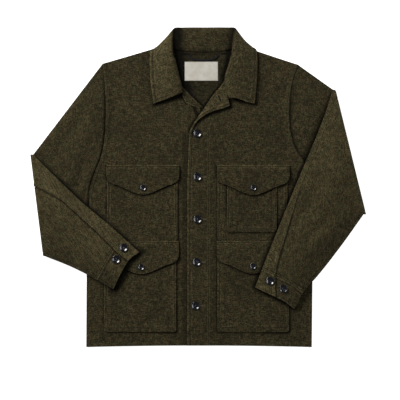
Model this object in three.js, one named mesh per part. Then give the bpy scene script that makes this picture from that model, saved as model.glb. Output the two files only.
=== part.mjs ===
// A mackinaw jacket in thick felted wool, laid flat on its back with both sleeves folded over at the elbow.
// Millimetres, +Z up. In the jacket's own plan, x runs across from the centre and y up from the hem.
// Sides are the wearer's: the wearer's right lies at -X. The floor is z = 0.

import * as THREE from 'three';

// Driving dimensions
const cloth = 2.2;              // thickness of the felted wool
const seam = 0.3;               // space between neighbouring pieces
const layer = cloth + seam;     // what one layer of cloth adds to a stack
const loft = 1.2;               // air between the back and the fronts in the middle of the body
const yokeLoft = 0.25;          // extra air towards the shoulders
const climb = { start: 25, end: 6 };    // where the top front climbs over the edge of the under front
const chestLift = 0.35;         // extra air under the top front from the chest up
const planCentre = { x: -2.15, y: 414.5 };

// The body in plan
const hem = { right: -293, left: 293, bow: 4 };
const underEdge = 21;           // edge of the under front, hidden below the top front
const topEdge = -30;            // edge of the top front at the hem
const neckPoint = { right: { x: -86, y: 784 }, left: { x: 109, y: 782 } };
const shoulderTip = { right: { x: -251, y: 736 }, left: { x: 259, y: 733 } };

// The side edge and the armhole in one line, from the hem to the shoulder tip.
// A body panel has a row at each point, and the sleeve a column at each armhole point.
const armholePoints = 9;
const sideAndArmhole = {
  right: [
    { x: -293, y: 0 }, { x: -292.5, y: 94 }, { x: -292, y: 187 }, { x: -290.5, y: 280 },
    { x: -289, y: 374 }, { x: -286, y: 410 }, { x: -273, y: 452 }, { x: -254, y: 500 },
    { x: -245, y: 555 }, { x: -243, y: 612 }, { x: -244, y: 660 }, { x: -247, y: 702 },
    shoulderTip.right,
  ],
  left: [
    { x: 293, y: 0 }, { x: 294, y: 104 }, { x: 295, y: 208 }, { x: 294, y: 311 },
    { x: 293, y: 415 }, { x: 287, y: 455 }, { x: 272, y: 486 }, { x: 252, y: 517 },
    { x: 240, y: 556 }, { x: 236, y: 602 }, { x: 238, y: 650 }, { x: 246, y: 698 },
    shoulderTip.left,
  ],
};

const backNeck = [
  neckPoint.right, { x: -64, y: 770 }, { x: -23, y: 764 }, { x: 16, y: 763 },
  { x: 55, y: 764 }, { x: 88, y: 770 }, neckPoint.left,
];

// The top front's roll line, where its neck corner turns back, and the edge of the facing that shows
const lapelRoll = [
  { x: -23, y: 562 }, { x: -16, y: 577 }, { x: 0, y: 601 }, { x: 18, y: 627 },
  { x: 39, y: 658 }, { x: 55, y: 676 }, { x: 66, y: 692 },
];
const lapelEdge = [
  { x: -19, y: 558 }, { x: -14, y: 573 }, { x: -5, y: 586 }, { x: 8, y: 597 },
  { x: 23, y: 606 }, { x: 39, y: 613 }, { x: 60, y: 619 }, { x: 80, y: 626 },
];
const lapelLift = 6;            // how far the lapel's outer edge stands off the front
const rightNeckEdge = [
  { x: -41, y: 673 }, { x: -50, y: 690 }, { x: -64, y: 731 }, { x: -77, y: 762 }, neckPoint.right,
];
const leftNeckEdge = [{ x: 76, y: 706 }, { x: 88, y: 740 }, { x: 100, y: 766 }, neckPoint.left];
// The small corner of the under front that turns back below the collar
const rightFacing = {
  lower: [{ x: -44, y: 654 }, { x: -33, y: 633 }, { x: 2, y: 619 }],
  end: [{ x: 2, y: 619 }, { x: 6, y: 624 }],
  fold: [{ x: -40, y: 671 }, { x: 6, y: 624 }],
  collarEnd: [{ x: -44, y: 654 }, { x: -40, y: 671 }],
};

// The collar in plan
const collarTop = { right: { x: -65, y: 829 }, left: { x: 95, y: 829 } };
const collar = {
  right: {
    roll: [
      { x: -43, y: 660 }, { x: -43, y: 668 }, { x: -48, y: 694 }, { x: -58, y: 731 },
      { x: -68, y: 772 }, { x: -71, y: 803 }, collarTop.right,
    ],
    edge: [
      { x: -118, y: 632 }, { x: -122, y: 655 }, { x: -126, y: 694 }, { x: -128, y: 733 },
      { x: -125, y: 772 },
    ],
    end: [
      { x: -118, y: 632 }, { x: -107, y: 636 }, { x: -88, y: 644 }, { x: -70, y: 647 },
      { x: -49, y: 653 }, { x: -43, y: 660 },
    ],
    fold: [
      { x: -125, y: 772 }, { x: -114, y: 777 }, { x: -101, y: 788 }, { x: -86, y: 801 },
      { x: -75, y: 814 }, collarTop.right,
    ],
  },
  left: {
    roll: [
      { x: 77, y: 647 }, { x: 70, y: 668 }, { x: 67, y: 694 }, { x: 74, y: 720 },
      { x: 83, y: 754 }, { x: 88, y: 785 }, collarTop.left,
    ],
    edge: [
      { x: 144, y: 632 }, { x: 148, y: 681 }, { x: 151, y: 733 }, { x: 150, y: 770 },
    ],
    end: [
      { x: 144, y: 632 }, { x: 130, y: 633 }, { x: 107, y: 644 }, { x: 86, y: 647 },
      { x: 77, y: 647 },
    ],
    fold: [
      { x: 150, y: 770 }, { x: 135, y: 783 }, { x: 122, y: 796 }, { x: 107, y: 812 },
      collarTop.left,
    ],
  },
};
const standSeam = [
  { x: -80, y: 787.5 }, { x: -62, y: 774 }, { x: -22, y: 767.5 }, { x: 16, y: 766.5 },
  { x: 56, y: 767.5 }, { x: 86, y: 774 }, { x: 103, y: 785.5 },
];
const standTop = { right: { x: -67, y: 828 }, left: { x: 97, y: 828 } };
// The lower edge of the collar's back fall, which lies below the back
const fallEdge = [
  { x: -121, y: 768 }, { x: -90, y: 756 }, { x: -40, y: 750 }, { x: 14, y: 750 },
  { x: 66, y: 750 }, { x: 115, y: 755 }, { x: 146, y: 766 },
];
const fallInset = { x: 3, y: 2 };       // how far the fall's ends stay inside the fold of the leaves
// How far a leaf's underside stands off the front at its outer edge and at its crown, how far it drops
// from the crown to its inner edge, and the height of its underside where it meets the fall
const leaf = { edge: 5, crown: 10.5, crownAt: 0.35, drop: 7.5, shoulder: 5.4 };
const collarLift = { start: 655, end: 742, reach: 152, fade: 45 };

// Each sleeve is a flat tube. It runs from the armhole to a fold line at the elbow, and back over itself.
// The back seam, which ends as the vent of the cuff, has a distance e from the overarm edge, as a share of
// the sleeve's width, at each share of the way from elbow to wrist.
const arms = {
  right: {
    side: -1,
    armhole: sideAndArmhole.right.slice(-armholePoints).reverse(),
    elbow: { over: { x: -438, y: 501 }, under: { x: -405, y: 237 } },
    overEdge: [{ x: -352, y: 422 }, { x: -294, y: 368 }, { x: -238, y: 322 }],
    underEdge: [{ x: -330, y: 208 }, { x: -292, y: 190 }],
    wrist: [
      { x: -154, y: 247 }, { x: -179, y: 229 }, { x: -191, y: 212 },
      { x: -206, y: 184 }, { x: -222, y: 151 },
    ],
    backSeam: [
      { at: 0, e: 0.32 }, { at: 0.28, e: 0.215 }, { at: 0.42, e: 0.22 }, { at: 0.65, e: 0.26 },
      { at: 0.87, e: 0.32 }, { at: 1, e: 0.315 },
    ],
  },
  left: {
    side: 1,
    armhole: sideAndArmhole.left.slice(-armholePoints).reverse(),
    elbow: { over: { x: 355, y: 667 }, under: { x: 434, y: 344 } },
    overEdge: [{ x: 320, y: 585 }, { x: 244, y: 403 }, { x: 190, y: 270 }],
    underEdge: [{ x: 374, y: 270 }, { x: 306, y: 184 }, { x: 271, y: 146 }],
    wrist: [
      { x: 145, y: 156 }, { x: 170, y: 144 }, { x: 198, y: 131 },
      { x: 222, y: 119 }, { x: 247, y: 99 },
    ],
    backSeam: [
      { at: 0, e: 0.07 }, { at: 0.42, e: 0.085 }, { at: 0.6, e: 0.165 }, { at: 0.75, e: 0.25 },
      { at: 0.92, e: 0.41 }, { at: 1, e: 0.51 },
    ],
  },
};
const sleeve = {
  spread: 1.5,                  // from the tube's middle surface to the middle of each wall
  elbowRadius: 4.8,             // of the tube's middle surface round the fold
  puff: 2.4,                    // extra air inside the upper arm, and under the top of the forearm
  underarmSeam: 8,              // from the underarm edge
  cuffDepth: 56,
  cuffShare: 0.185,             // share of the rows along the forearm that the cuff takes
  sag: 6,                       // how far the lower edge of the forearm drops past the elbow
};
// Height of the forearm's underside above the floor, by its share of the way from elbow to wrist
const forearmRise = [
  { at: 0, z: 7.2 }, { at: 0.3, z: 8.6 }, { at: 0.55, z: 9.4 }, { at: 0.78, z: 12.9 }, { at: 1, z: 13.2 },
];

// Patch pockets: level is how many layers of cloth lie on the front below them
const pockets = [
  { name: 'pocket_right_chest', front: 'right', left: -239, right: -55, bottom: 276.3, top: 455, level: 0 },
  { name: 'pocket_right_hip', front: 'right', left: -246, right: -59, bottom: 39, top: 258, level: 0 },
  { name: 'pocket_left_hand', front: 'left', left: 48, right: 230, bottom: 276.3, top: 455, level: 0 },
  { name: 'pocket_left_patch', front: 'left', left: 73, right: 202, bottom: 299, top: 453, level: 1 },
  { name: 'pocket_left_hip', front: 'left', left: 48, right: 234, bottom: 39, top: 258, level: 0 },
];
const pocketCorner = 7;
const arcInset = 0.29;          // from a square corner in to a round one's middle, as a share of its radius
// A flap lies on the front along its top, and climbs over its pocket between these distances from the top
const flapClimb = { start: 4, end: 14 };
const flapLift = 1.2;           // extra height of a flap's free edge
const flaps = [
  {
    name: 'flap_right_chest', front: 'right', level: 1,
    left: -240, right: -51, tip: -145, point: 396, top: 473,
  },
  {
    name: 'flap_right_hip', front: 'right', level: 1,
    left: -246, right: -52, tip: -150, point: 190, top: 276,
  },
  {
    name: 'flap_left_chest', front: 'left', level: 2,
    left: 47, right: 235, tip: 141, point: 395, top: 473,
  },
  {
    name: 'flap_left_hip', front: 'left', level: 1,
    left: 46, right: 235, tip: 140, point: 191, top: 276,
  },
];
// Half of a flap's lower edge, from its corner to its point: share of the half width, and height
// above the point
const flapEdge = [
  { out: 1, up: 47 }, { out: 0.966, up: 38 }, { out: 0.86, up: 29.5 }, { out: 0.65, up: 22.5 },
  { out: 0.42, up: 12.5 }, { out: 0.24, up: 5 }, { out: 0.08, up: 0.6 },
];

const flapButtonUp = { right: 18, left: 19 };   // from a flap's point to its button
const flapButtonLift = 0.9;     // how far the flap's free edge lifts there
const buttonSizes = {
  front: { radius: 11, height: 3.6 },
  flap: { radius: 8.3, height: 3 },
  cuff: { radius: 11, height: 3.6 },
};
const frontButtons = [
  { x: -4, y: 555 }, { x: -4, y: 442 }, { x: -4, y: 332 }, { x: -6, y: 221 }, { x: -9, y: 108 },
];
const cuffButtons = {
  right: [{ x: -195, y: 259 }, { x: -214, y: 229 }],
  left: [{ x: 184, y: 173 }, { x: 218, y: 153 }],
};
const label = { left: -37, right: 49, bottom: 692, top: 741, thickness: 0.8 };
const loop = {
  radius: 1.9,
  route: [
    { x: -29, y: 759 }, { x: -24, y: 753 }, { x: -14, y: 747.5 }, { x: 8, y: 745.5 },
    { x: 32, y: 746.5 }, { x: 44, y: 751.5 }, { x: 51, y: 759 },
  ],
};

// Finishes
const wool = new THREE.MeshStandardMaterial({ color: 0x3b4630, roughness: 0.95, metalness: 0 });
const collarWool = new THREE.MeshStandardMaterial({ color: 0x38432d, roughness: 0.95, metalness: 0 });
const horn = new THREE.MeshStandardMaterial({ color: 0x14161f, roughness: 0.3, metalness: 0 });
const tape = new THREE.MeshStandardMaterial({ color: 0x1a1c26, roughness: 0.85, metalness: 0 });
const linen = new THREE.MeshStandardMaterial({ color: 0xd9d4c6, roughness: 0.8, metalness: 0 });

const jacket = new THREE.Group();
jacket.position.set(-planCentre.x, -planCentre.y, 0);

// Small helpers
function clamp(value, low, high) {
  return Math.min(high, Math.max(low, value));
}

// Eases from 0 at start to 1 at end
function ease(start, end, value) {
  const share = clamp((value - start) / (end - start), 0, 1);
  return share * share * (3 - 2 * share);
}

function mix(a, b, share) {
  return a + (b - a) * share;
}

function mixPoints(a, b, share) {
  return { x: mix(a.x, b.x, share), y: mix(a.y, b.y, share) };
}

function distance(a, b) {
  return Math.hypot(b.x - a.x, b.y - a.y);
}

// A smooth line through points, as a closely spaced list
function smooth(points) {
  const curve = new THREE.CatmullRomCurve3(
    points.map((p) => new THREE.Vector3(p.x, p.y, 0)), false, 'centripetal');
  return curve.getPoints(8 * (points.length - 1)).map((p) => ({ x: p.x, y: p.y }));
}

function lengthOf(points) {
  return points.slice(1).reduce((total, p, i) => total + distance(points[i], p), 0);
}

// A walk along a list of points: share 0 is its start and 1 its end
function walk(points) {
  const reached = [0];
  for (let i = 1; i < points.length; i += 1) {
    reached.push(reached[i - 1] + distance(points[i - 1], points[i]));
  }
  const total = reached[points.length - 1];
  return (share) => {
    const target = clamp(share, 0, 1) * total;
    let i = 1;
    while (i < points.length - 1 && reached[i] < target) i += 1;
    return mixPoints(points[i - 1], points[i], (target - reached[i - 1]) / (reached[i] - reached[i - 1]));
  };
}

// A walk in which each point of the list takes an equal share
function walkByPoint(points) {
  return (share) => {
    const place = clamp(share, 0, 1) * (points.length - 1);
    const i = Math.min(Math.floor(place), points.length - 2);
    return mixPoints(points[i], points[i + 1], place - i);
  };
}

// A four-sided patch of cloth in plan, filled in between its edges.
// Bottom and top run from left to right, left and right run from bottom to top.
function patch({ bottom, right, top, left }) {
  const cornerBL = bottom(0);
  const cornerBR = bottom(1);
  const cornerTL = top(0);
  const cornerTR = top(1);
  return (u, v) => {
    const b = bottom(u);
    const t = top(u);
    const l = left(v);
    const r = right(v);
    const fill = (k) => (1 - v) * b[k] + v * t[k] + (1 - u) * l[k] + u * r[k]
      - (1 - u) * (1 - v) * cornerBL[k] - u * (1 - v) * cornerBR[k]
      - (1 - u) * v * cornerTL[k] - u * v * cornerTR[k];
    return { x: fill('x'), y: fill('y') };
  };
}

// A closed wall between two faces, each a function of u and v that returns x, y and z.
// The upper face is seen with its outside towards the reader when u runs right and v runs up.
function wall(columns, rows, lower, upper) {
  const positions = [];
  const faces = [];
  const width = columns.length;
  const height = rows.length;
  [lower, upper].forEach((face) => {
    rows.forEach((v) => columns.forEach((u) => {
      const p = face(u, v);
      positions.push(p.x, p.y, p.z);
    }));
  });
  const at = (side, i, j) => side * width * height + j * width + i;
  for (let j = 0; j < height - 1; j += 1) {
    for (let i = 0; i < width - 1; i += 1) {
      faces.push(at(1, i, j), at(1, i + 1, j), at(1, i + 1, j + 1));
      faces.push(at(1, i, j), at(1, i + 1, j + 1), at(1, i, j + 1));
      faces.push(at(0, i, j), at(0, i + 1, j + 1), at(0, i + 1, j));
      faces.push(at(0, i, j), at(0, i, j + 1), at(0, i + 1, j + 1));
    }
  }
  // The places of the rim in order, once round
  const right = width - 1;
  const top = height - 1;
  const rim = [
    ...columns.slice(0, right).map((_, i) => [i, 0]),
    ...rows.slice(0, top).map((_, j) => [right, j]),
    ...columns.slice(0, right).map((_, i) => [right - i, top]),
    ...rows.slice(0, top).map((_, j) => [0, top - j]),
  ];
  rim.forEach(([i, j], k) => {
    const [iNext, jNext] = rim[(k + 1) % rim.length];
    const a = at(0, i, j);
    const b = at(0, iNext, jNext);
    const c = at(1, iNext, jNext);
    const d = at(1, i, j);
    faces.push(a, b, c, a, c, d);
  });
  const geometry = new THREE.BufferGeometry();
  geometry.setAttribute('position', new THREE.Float32BufferAttribute(positions, 3));
  geometry.setIndex(faces);
  return geometry;
}

function steps(count) {
  return Array.from({ length: count + 1 }, (_, i) => i / count);
}

function addPiece(name, geometry, material) {
  geometry.computeVertexNormals();
  const mesh = new THREE.Mesh(geometry, material);
  mesh.name = name;
  jacket.add(mesh);
}

// A flat-lying piece: its plan, the height of its underside, and its thickness
function addPanel(name, plan, under, grid, material = wool, thickness = cloth) {
  const at = (u, v, rise) => {
    const p = plan(u, v);
    return { x: p.x, y: p.y, z: under(p.x, p.y, u, v) + rise };
  };
  const lower = (u, v) => at(u, v, 0);
  const upper = (u, v) => at(u, v, thickness);
  addPiece(name, wall(grid.across, grid.along, lower, upper), material);
}

// Heights of the layers. Each is the underside of a piece: the top of what it lies on, plus the seam space.
function backUnder(x, y) {
  const nearCentre = ease(collarLift.reach + collarLift.fade, collarLift.reach, Math.abs(x - 13));
  return layer * ease(collarLift.start, collarLift.end, y) * nearCentre;
}

function frontLoft(x, y) {
  const fromSide = ease(0, 80, Math.min(x - hem.right, hem.left - x));
  return loft * fromSide * ease(0, 70, y) * ease(790, 690, y) + yokeLoft * ease(600, 700, y);
}

function rightFrontUnder(x, y) {
  return backUnder(x, y) + layer + frontLoft(x, y);
}

// The top front climbs over the under front at the placket
function leftFrontUnder(x, y) {
  const over = layer * ease(underEdge + climb.start, underEdge + climb.end, x);
  return rightFrontUnder(x, y) + over + chestLift * ease(480, 550, y);
}

function onFront(front, level) {
  const under = front === 'right' ? rightFrontUnder : leftFrontUnder;
  return (x, y) => under(x, y) + layer * (level + 1);
}

// Back
const sides = { right: walkByPoint(sideAndArmhole.right), left: walkByPoint(sideAndArmhole.left) };
function hemLine(left, right) {
  return (share) => {
    const x = mix(left, right, share);
    const fromMiddle = clamp(Math.abs(x) / hem.left, 0, 1);
    return { x, y: hem.bow * (1 - fromMiddle * fromMiddle) };
  };
}
const grids = {
  body: { across: steps(14), along: steps(sideAndArmhole.right.length - 1) },
  front: { across: steps(8), along: steps(sideAndArmhole.right.length - 1) },
};
addPanel('back', patch({
  bottom: hemLine(hem.right, hem.left),
  right: sides.left,
  top: walk([shoulderTip.right, ...smooth(backNeck), shoulderTip.left]),
  left: sides.right,
}), backUnder, grids.body);

// Under front, on the wearer's right
addPanel('front_right', patch({
  bottom: hemLine(hem.right, underEdge),
  right: walk([
    { x: underEdge, y: hem.bow }, { x: underEdge, y: 560 }, { x: 17, y: 600 }, { x: 9, y: 624 },
    ...smooth(rightNeckEdge),
  ]),
  top: walk([shoulderTip.right, neckPoint.right]),
  left: sides.right,
}), rightFrontUnder, grids.front);
addPanel('facing_right', patch({
  bottom: walk(rightFacing.lower),
  right: walk(rightFacing.end),
  top: walk(rightFacing.fold),
  left: walk(rightFacing.collarEnd),
}), onFront('right', 0), { across: steps(5), along: steps(2) });

// Top front, on the wearer's left. Its columns crowd together where it climbs over the under front.
const leftFrontColumns = [0, 0.05, 0.09, 0.13, 0.165, 0.2, 0.235, 0.28, 0.36, 0.48, 0.6, 0.72, 0.86, 1];
addPanel('front_left', patch({
  bottom: hemLine(topEdge, hem.left),
  right: sides.left,
  top: walk([neckPoint.left, shoulderTip.left]),
  left: walk([
    { x: topEdge, y: hem.bow }, { x: topEdge, y: 434 }, { x: -26, y: 538 }, ...smooth(lapelRoll),
    ...smooth(leftNeckEdge),
  ]),
}), leftFrontUnder, { across: leftFrontColumns, along: grids.front.along });
const lapelStart = { left: { x: -25, y: 557 }, right: { x: -19, y: 556 } };
function lapelUnder(x, y, u) {
  return onFront('left', 0)(x, y) + 0.4 * ease(600, 650, y) + lapelLift * u * ease(560, 610, y);
}
addPanel('facing_left', patch({
  bottom: walk([lapelStart.left, lapelStart.right]),
  right: walk([lapelStart.right, ...smooth(lapelEdge)]),
  top: walk([lapelRoll[6], lapelEdge[7]]),
  left: walk([lapelStart.left, ...smooth(lapelRoll)]),
}), lapelUnder, { across: steps(4), along: steps(12) });

// Pockets and flaps
function pocketPlan(pocket) {
  const { left, right, bottom, top } = pocket;
  const inset = pocketCorner * arcInset;
  const corner = (x, turn) => ({ x: x + turn * inset, y: bottom + inset });
  return patch({
    bottom: walk([
      { x: left, y: bottom + pocketCorner }, corner(left, 1), { x: left + pocketCorner, y: bottom },
      { x: right - pocketCorner, y: bottom }, corner(right, -1), { x: right, y: bottom + pocketCorner },
    ]),
    right: walk([{ x: right, y: bottom + pocketCorner }, { x: right, y: top }]),
    top: walk([{ x: left, y: top }, { x: right, y: top }]),
    left: walk([{ x: left, y: bottom + pocketCorner }, { x: left, y: top }]),
  });
}
const pocketGrid = { across: steps(7), along: steps(8) };
pockets.forEach((pocket) => {
  addPanel(pocket.name, pocketPlan(pocket), onFront(pocket.front, pocket.level), pocketGrid);
});

function flapPlan(flap) {
  const edgeTowards = (side) => flapEdge.map((row) => (
    { x: mix(flap.tip, side, row.out), y: flap.point + row.up }));
  const rightHalf = edgeTowards(flap.right);
  const leftHalf = edgeTowards(flap.left);
  const lower = smooth([...leftHalf, { x: flap.tip, y: flap.point }, ...rightHalf.slice().reverse()]);
  return patch({
    bottom: walk(lower),
    right: walk([rightHalf[0], { x: flap.right, y: flap.top }]),
    top: walk([{ x: flap.left, y: flap.top }, { x: flap.right, y: flap.top }]),
    left: walk([leftHalf[0], { x: flap.left, y: flap.top }]),
  });
}
// The rows of a flap crowd together where it climbs over its pocket
const flapGrid = { across: steps(14), along: [0, 0.2, 0.4, 0.5, 0.6, 0.7, 0.8, 0.87, 0.94, 1] };
flaps.forEach((flap) => {
  const seat = onFront(flap.front, 0);
  const under = (x, y, u, v) => {
    const climbed = ease(flap.top - flapClimb.start, flap.top - flapClimb.end, y);
    return seat(x, y) + layer * flap.level * climbed + flapLift * (1 - v) * (1 - v);
  };
  addPanel(flap.name, flapPlan(flap), under, flapGrid);
});

// Collar: the stand shows inside the neck, the fall is folded under it at the back,
// and a leaf lies on each front, with its inner edge rolled down into the neck
addPanel('collar_stand', patch({
  bottom: walk(smooth(standSeam)),
  right: walk([standSeam[6], standTop.left]),
  top: walk([standTop.right, standTop.left]),
  left: walk([standSeam[0], standTop.right]),
}), () => layer, { across: steps(12), along: steps(3) }, collarWool);
const insideFold = (points, turn) => smooth(points.map((p) => (
  { x: p.x + turn * fallInset.x, y: p.y - fallInset.y })));
addPanel('collar_fall', patch({
  bottom: walk(smooth(fallEdge)),
  right: walk(insideFold(collar.left.fold, -1)),
  top: walk(insideFold([collarTop.right, collarTop.left], 0)),
  left: walk(insideFold(collar.right.fold, 1)),
}), () => 0, { across: steps(12), along: steps(4) }, collarWool);

// A leaf stands off its front at its outer edge and higher at its crown, and drops from there into the
// neck. Above the lapel it stays up to its inner edge, and towards the shoulder it comes down to the fall.
function leafUnder(front, fromRoll) {
  const seat = onFront(front, 0);
  return (x, y, u, v) => {
    const inward = fromRoll(u);
    const overLapel = front === 'left' ? ease(0.3, 0.55, v) : ease(0.1, 0.35, v);
    const drop = leaf.drop * (1 - ease(0, leaf.crownAt, inward)) * overLapel;
    const open = seat(x, y) + mix(leaf.crown, leaf.edge, ease(leaf.crownAt, 1, inward)) - drop;
    return mix(open, leaf.shoulder, ease(0.55, 1, v) * ease(0.7, 0.3, inward));
  };
}
const leafRows = [0, 0.12, 0.25, 0.4, 0.55, 0.7, 0.8, 0.87, 0.94, 1];
const fromRollOut = [0, 0.04, 0.09, 0.16, 0.25, 0.35, 0.55, 0.8, 1];
const towardsRoll = fromRollOut.map((share) => 1 - share).reverse();
addPanel('collar_leaf_right', patch({
  bottom: walk(smooth(collar.right.end)),
  right: walk(smooth(collar.right.roll)),
  top: walk(smooth(collar.right.fold)),
  left: walk(smooth(collar.right.edge)),
}), leafUnder('right', (u) => 1 - u), { across: towardsRoll, along: leafRows }, collarWool);
addPanel('collar_leaf_left', patch({
  bottom: walk(smooth(collar.left.end.slice().reverse())),
  right: walk(smooth(collar.left.edge)),
  top: walk(smooth(collar.left.fold.slice().reverse())),
  left: walk(smooth(collar.left.roll)),
}), leafUnder('left', (u) => u), { across: fromRollOut, along: leafRows }, collarWool);

// Sleeves. A point of a sleeve has a way along it (0 armhole, 1 elbow, 2 round the fold, 3 wrist),
// a distance e from its overarm edge, and an offset d from the tube's middle surface,
// which is positive towards the side of the sleeve that lies up on the upper arm.
const foldReach = sleeve.elbowRadius + sleeve.spread + cloth / 2;   // outer radius of the fold
const lowMiddle = sleeve.spread + cloth / 2;                        // middle surface of the upper arm

function armSurfaces(arm) {
  const across = walk([arm.elbow.over, arm.elbow.under]);
  const length = distance(arm.elbow.over, arm.elbow.under);
  const inward = {
    x: -arm.side * Math.abs(arm.elbow.under.y - arm.elbow.over.y) / length,
    y: (arm.elbow.under.x - arm.elbow.over.x) * arm.side / length,
  };
  const foldStart = (share) => {
    const p = across(share);
    return { x: p.x + inward.x * foldReach, y: p.y + inward.y * foldReach };
  };
  const armhole = walkByPoint(arm.armhole.map((p) => ({ x: p.x + 1.3 * arm.side * seam, y: p.y })));
  const upper = patch({
    bottom: armhole,
    top: foldStart,
    left: walk([armhole(0), foldStart(0)]),
    right: walk([armhole(1), foldStart(1)]),
  });
  const wrist = walk(smooth(arm.wrist));
  const over = smooth([foldStart(0), ...arm.overEdge, wrist(0)]);
  const under = smooth([foldStart(1), ...arm.underEdge, wrist(1)]);
  const lower = patch({ bottom: foldStart, top: wrist, left: walk(over), right: walk(under) });
  return { across, inward, upper, lower, overLength: lengthOf(over), underLength: lengthOf(under) };
}

// The stretch of a table of places that holds a place
function stretchAt(rows, at) {
  let i = 1;
  while (i < rows.length - 1 && rows[i].at < at) i += 1;
  return [rows[i - 1], rows[i]];
}

function riseAt(share) {
  const [a, b] = stretchAt(forearmRise, share);
  return mix(a.z, b.z, ease(a.at, b.at, share));
}

// How far the air inside lifts a wall, by its share of the way across and its offset from the middle
function puffAcross(share, offset) {
  return Math.max(0, offset) / sleeve.spread * sleeve.puff * Math.sin(Math.PI * clamp(share, 0, 1));
}

function makeArm(arm) {
  const surfaces = armSurfaces(arm);
  const width = (way) => {
    if (way <= 1) return distance(surfaces.upper(0, way), surfaces.upper(1, way));
    if (way <= 2) return distance(arm.elbow.over, arm.elbow.under);
    return distance(surfaces.lower(0, way - 2), surfaces.lower(1, way - 2));
  };
  // The rows of the forearm lean, so that the cuff is as deep at the short underarm edge as at the long one
  const leanTo = (along, share) => {
    const length = mix(surfaces.overLength, surfaces.underLength, clamp(share, 0, 1));
    const start = 1 - sleeve.cuffDepth / length;
    const evenStart = 1 - sleeve.cuffShare;
    return along < evenStart
      ? start * along / evenStart
      : mix(start, 1, (along - evenStart) / sleeve.cuffShare);
  };
  const point = (way, e, d) => {
    const share = e / width(way);
    if (way <= 1) {
      const p = surfaces.upper(share, way);
      const puffed = puffAcross(share, d) * (1 - way ** 2);
      return { ...p, z: lowMiddle + d + puffed };
    }
    if (way < 2) {
      const turn = Math.PI * (way - 1);
      const radius = sleeve.elbowRadius - d;
      const p = surfaces.across(share);
      const back = foldReach - radius * Math.sin(turn);
      return {
        x: p.x + surfaces.inward.x * back,
        y: p.y + surfaces.inward.y * back,
        z: lowMiddle + sleeve.elbowRadius - radius * Math.cos(turn),
      };
    }
    const along = leanTo(way - 2, share);
    const p = surfaces.lower(share, along);
    const foldTop = lowMiddle + 2 * sleeve.elbowRadius;
    const middle = mix(foldTop, riseAt(along) + lowMiddle, ease(0, 0.25, along));
    const drop = sleeve.sag * ease(0.5, 1, share) * ease(0.02, 0.22, along) * ease(0.56, 0.34, along);
    const puffed = puffAcross(share, -d) * ease(0, 0.3, along) * ease(1, 0.7, along);
    return { ...p, z: middle - drop - d + puffed };
  };
  return { width, point };
}

// The middle of the tube's wall as places with e, d and the outward direction, from the underarm seam
// round the underarm edge, the front half and the overarm edge to a place on the back half
const edgeTurns = [0.25, 0.5, 0.75];
const panels = armholePoints - 1;

function tubeWall(width, backStart, backEnd) {
  const far = width - lowMiddle;
  const near = lowMiddle;
  const s = sleeve.spread;
  const back = (e) => ({ e, d: -s, ne: 0, nd: -1 });
  const front = (e) => ({ e, d: s, ne: 0, nd: 1 });
  const edge = (centre, angle) => {
    const ne = Math.cos(angle);
    const nd = Math.sin(angle);
    return { e: centre + s * ne, d: s * nd, ne, nd };
  };
  const inside = Array.from({ length: panels - 1 }, (_, k) => width * (k + 1) / panels);
  return [
    ...backStart.map(back),
    back(far),
    ...edgeTurns.map((turn) => edge(far, Math.PI * (turn - 0.5))),
    front(far),
    ...inside.slice().reverse().map(front),
    front(near),
    ...edgeTurns.map((turn) => edge(near, Math.PI * (turn + 0.5))),
    back(near),
    back(Math.min(inside[0], backEnd - 0.02 * width)),
    back(Math.min(inside[1], backEnd - 0.01 * width)),
    back(backEnd),
  ];
}

const foldWays = [1.17, 1.33, 1.5, 1.67, 1.83];
const cuffStart = 3 - sleeve.cuffShare;
const cuffRows = [cuffStart + 0.001, cuffStart + 0.06, cuffStart + 0.12, 3];
const sleeveRows = [
  0, 0.17, 0.34, 0.51, 0.68, 0.84, 1, ...foldWays,
  2, 2.08, 2.16, 2.25, 2.34, 2.43, 2.52, 2.6, 2.68, 2.75, cuffStart - 0.001,
];

function seamShare(arm, way) {
  const along = clamp(way - 2, 0, 1);
  const [a, b] = stretchAt(arm.backSeam, along);
  return mix(a.e, b.e, (along - a.at) / (b.at - a.at));
}

function addArm(name, arm) {
  const { width, point } = makeArm(arm);
  // The inner and outer face of a piece whose sections are lists of places, one list for each way along
  const addTube = (pieceName, sectionAt, rows) => {
    const sections = new Map(rows.map((way) => [way, sectionAt(way)]));
    const count = sections.get(rows[0]).length;
    const face = (offset) => (column, way) => {
      const w = sections.get(way)[column];
      return point(way, w.e + offset * w.ne, w.d + offset * w.nd);
    };
    const faces = [face(-cloth / 2), face(cloth / 2)];
    if (arm.side > 0) faces.reverse();
    addPiece(pieceName, wall(Array.from({ length: count }, (_, i) => i), rows, ...faces), wool);
  };
  const seamAt = (way) => seamShare(arm, way) * width(way);
  const underarm = (way) => width(way) - sleeve.underarmSeam;
  // The columns of the under sleeve are those of the armhole, as far as they lie past the seam
  const backHalf = (way) => [
    seamAt(way) + seam,
    ...[1, 2, 3, 4, 5, 6, 7].map((column) => (
      Math.max(width(way) * column / panels, seamAt(way) + 0.01 * column * width(way)))),
    underarm(way) - seam,
  ];
  addTube(`sleeve_${name}_upper`, (way) => tubeWall(width(way), [underarm(way)], seamAt(way)), sleeveRows);
  addTube(`sleeve_${name}_under`, (way) => (
    backHalf(way).map((e) => ({ e, d: -sleeve.spread, ne: 0, nd: -1 }))), sleeveRows);
  // The cuff goes all round, from one side of the vent to the other
  addTube(`cuff_${name}`, (way) => (
    tubeWall(width(way), [mix(seamAt(way), underarm(way), 0.02), underarm(way)], seamAt(way))), cuffRows);
  return { width, point };
}
const rightArm = addArm('right', arms.right);
const leftArm = addArm('left', arms.left);

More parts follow.
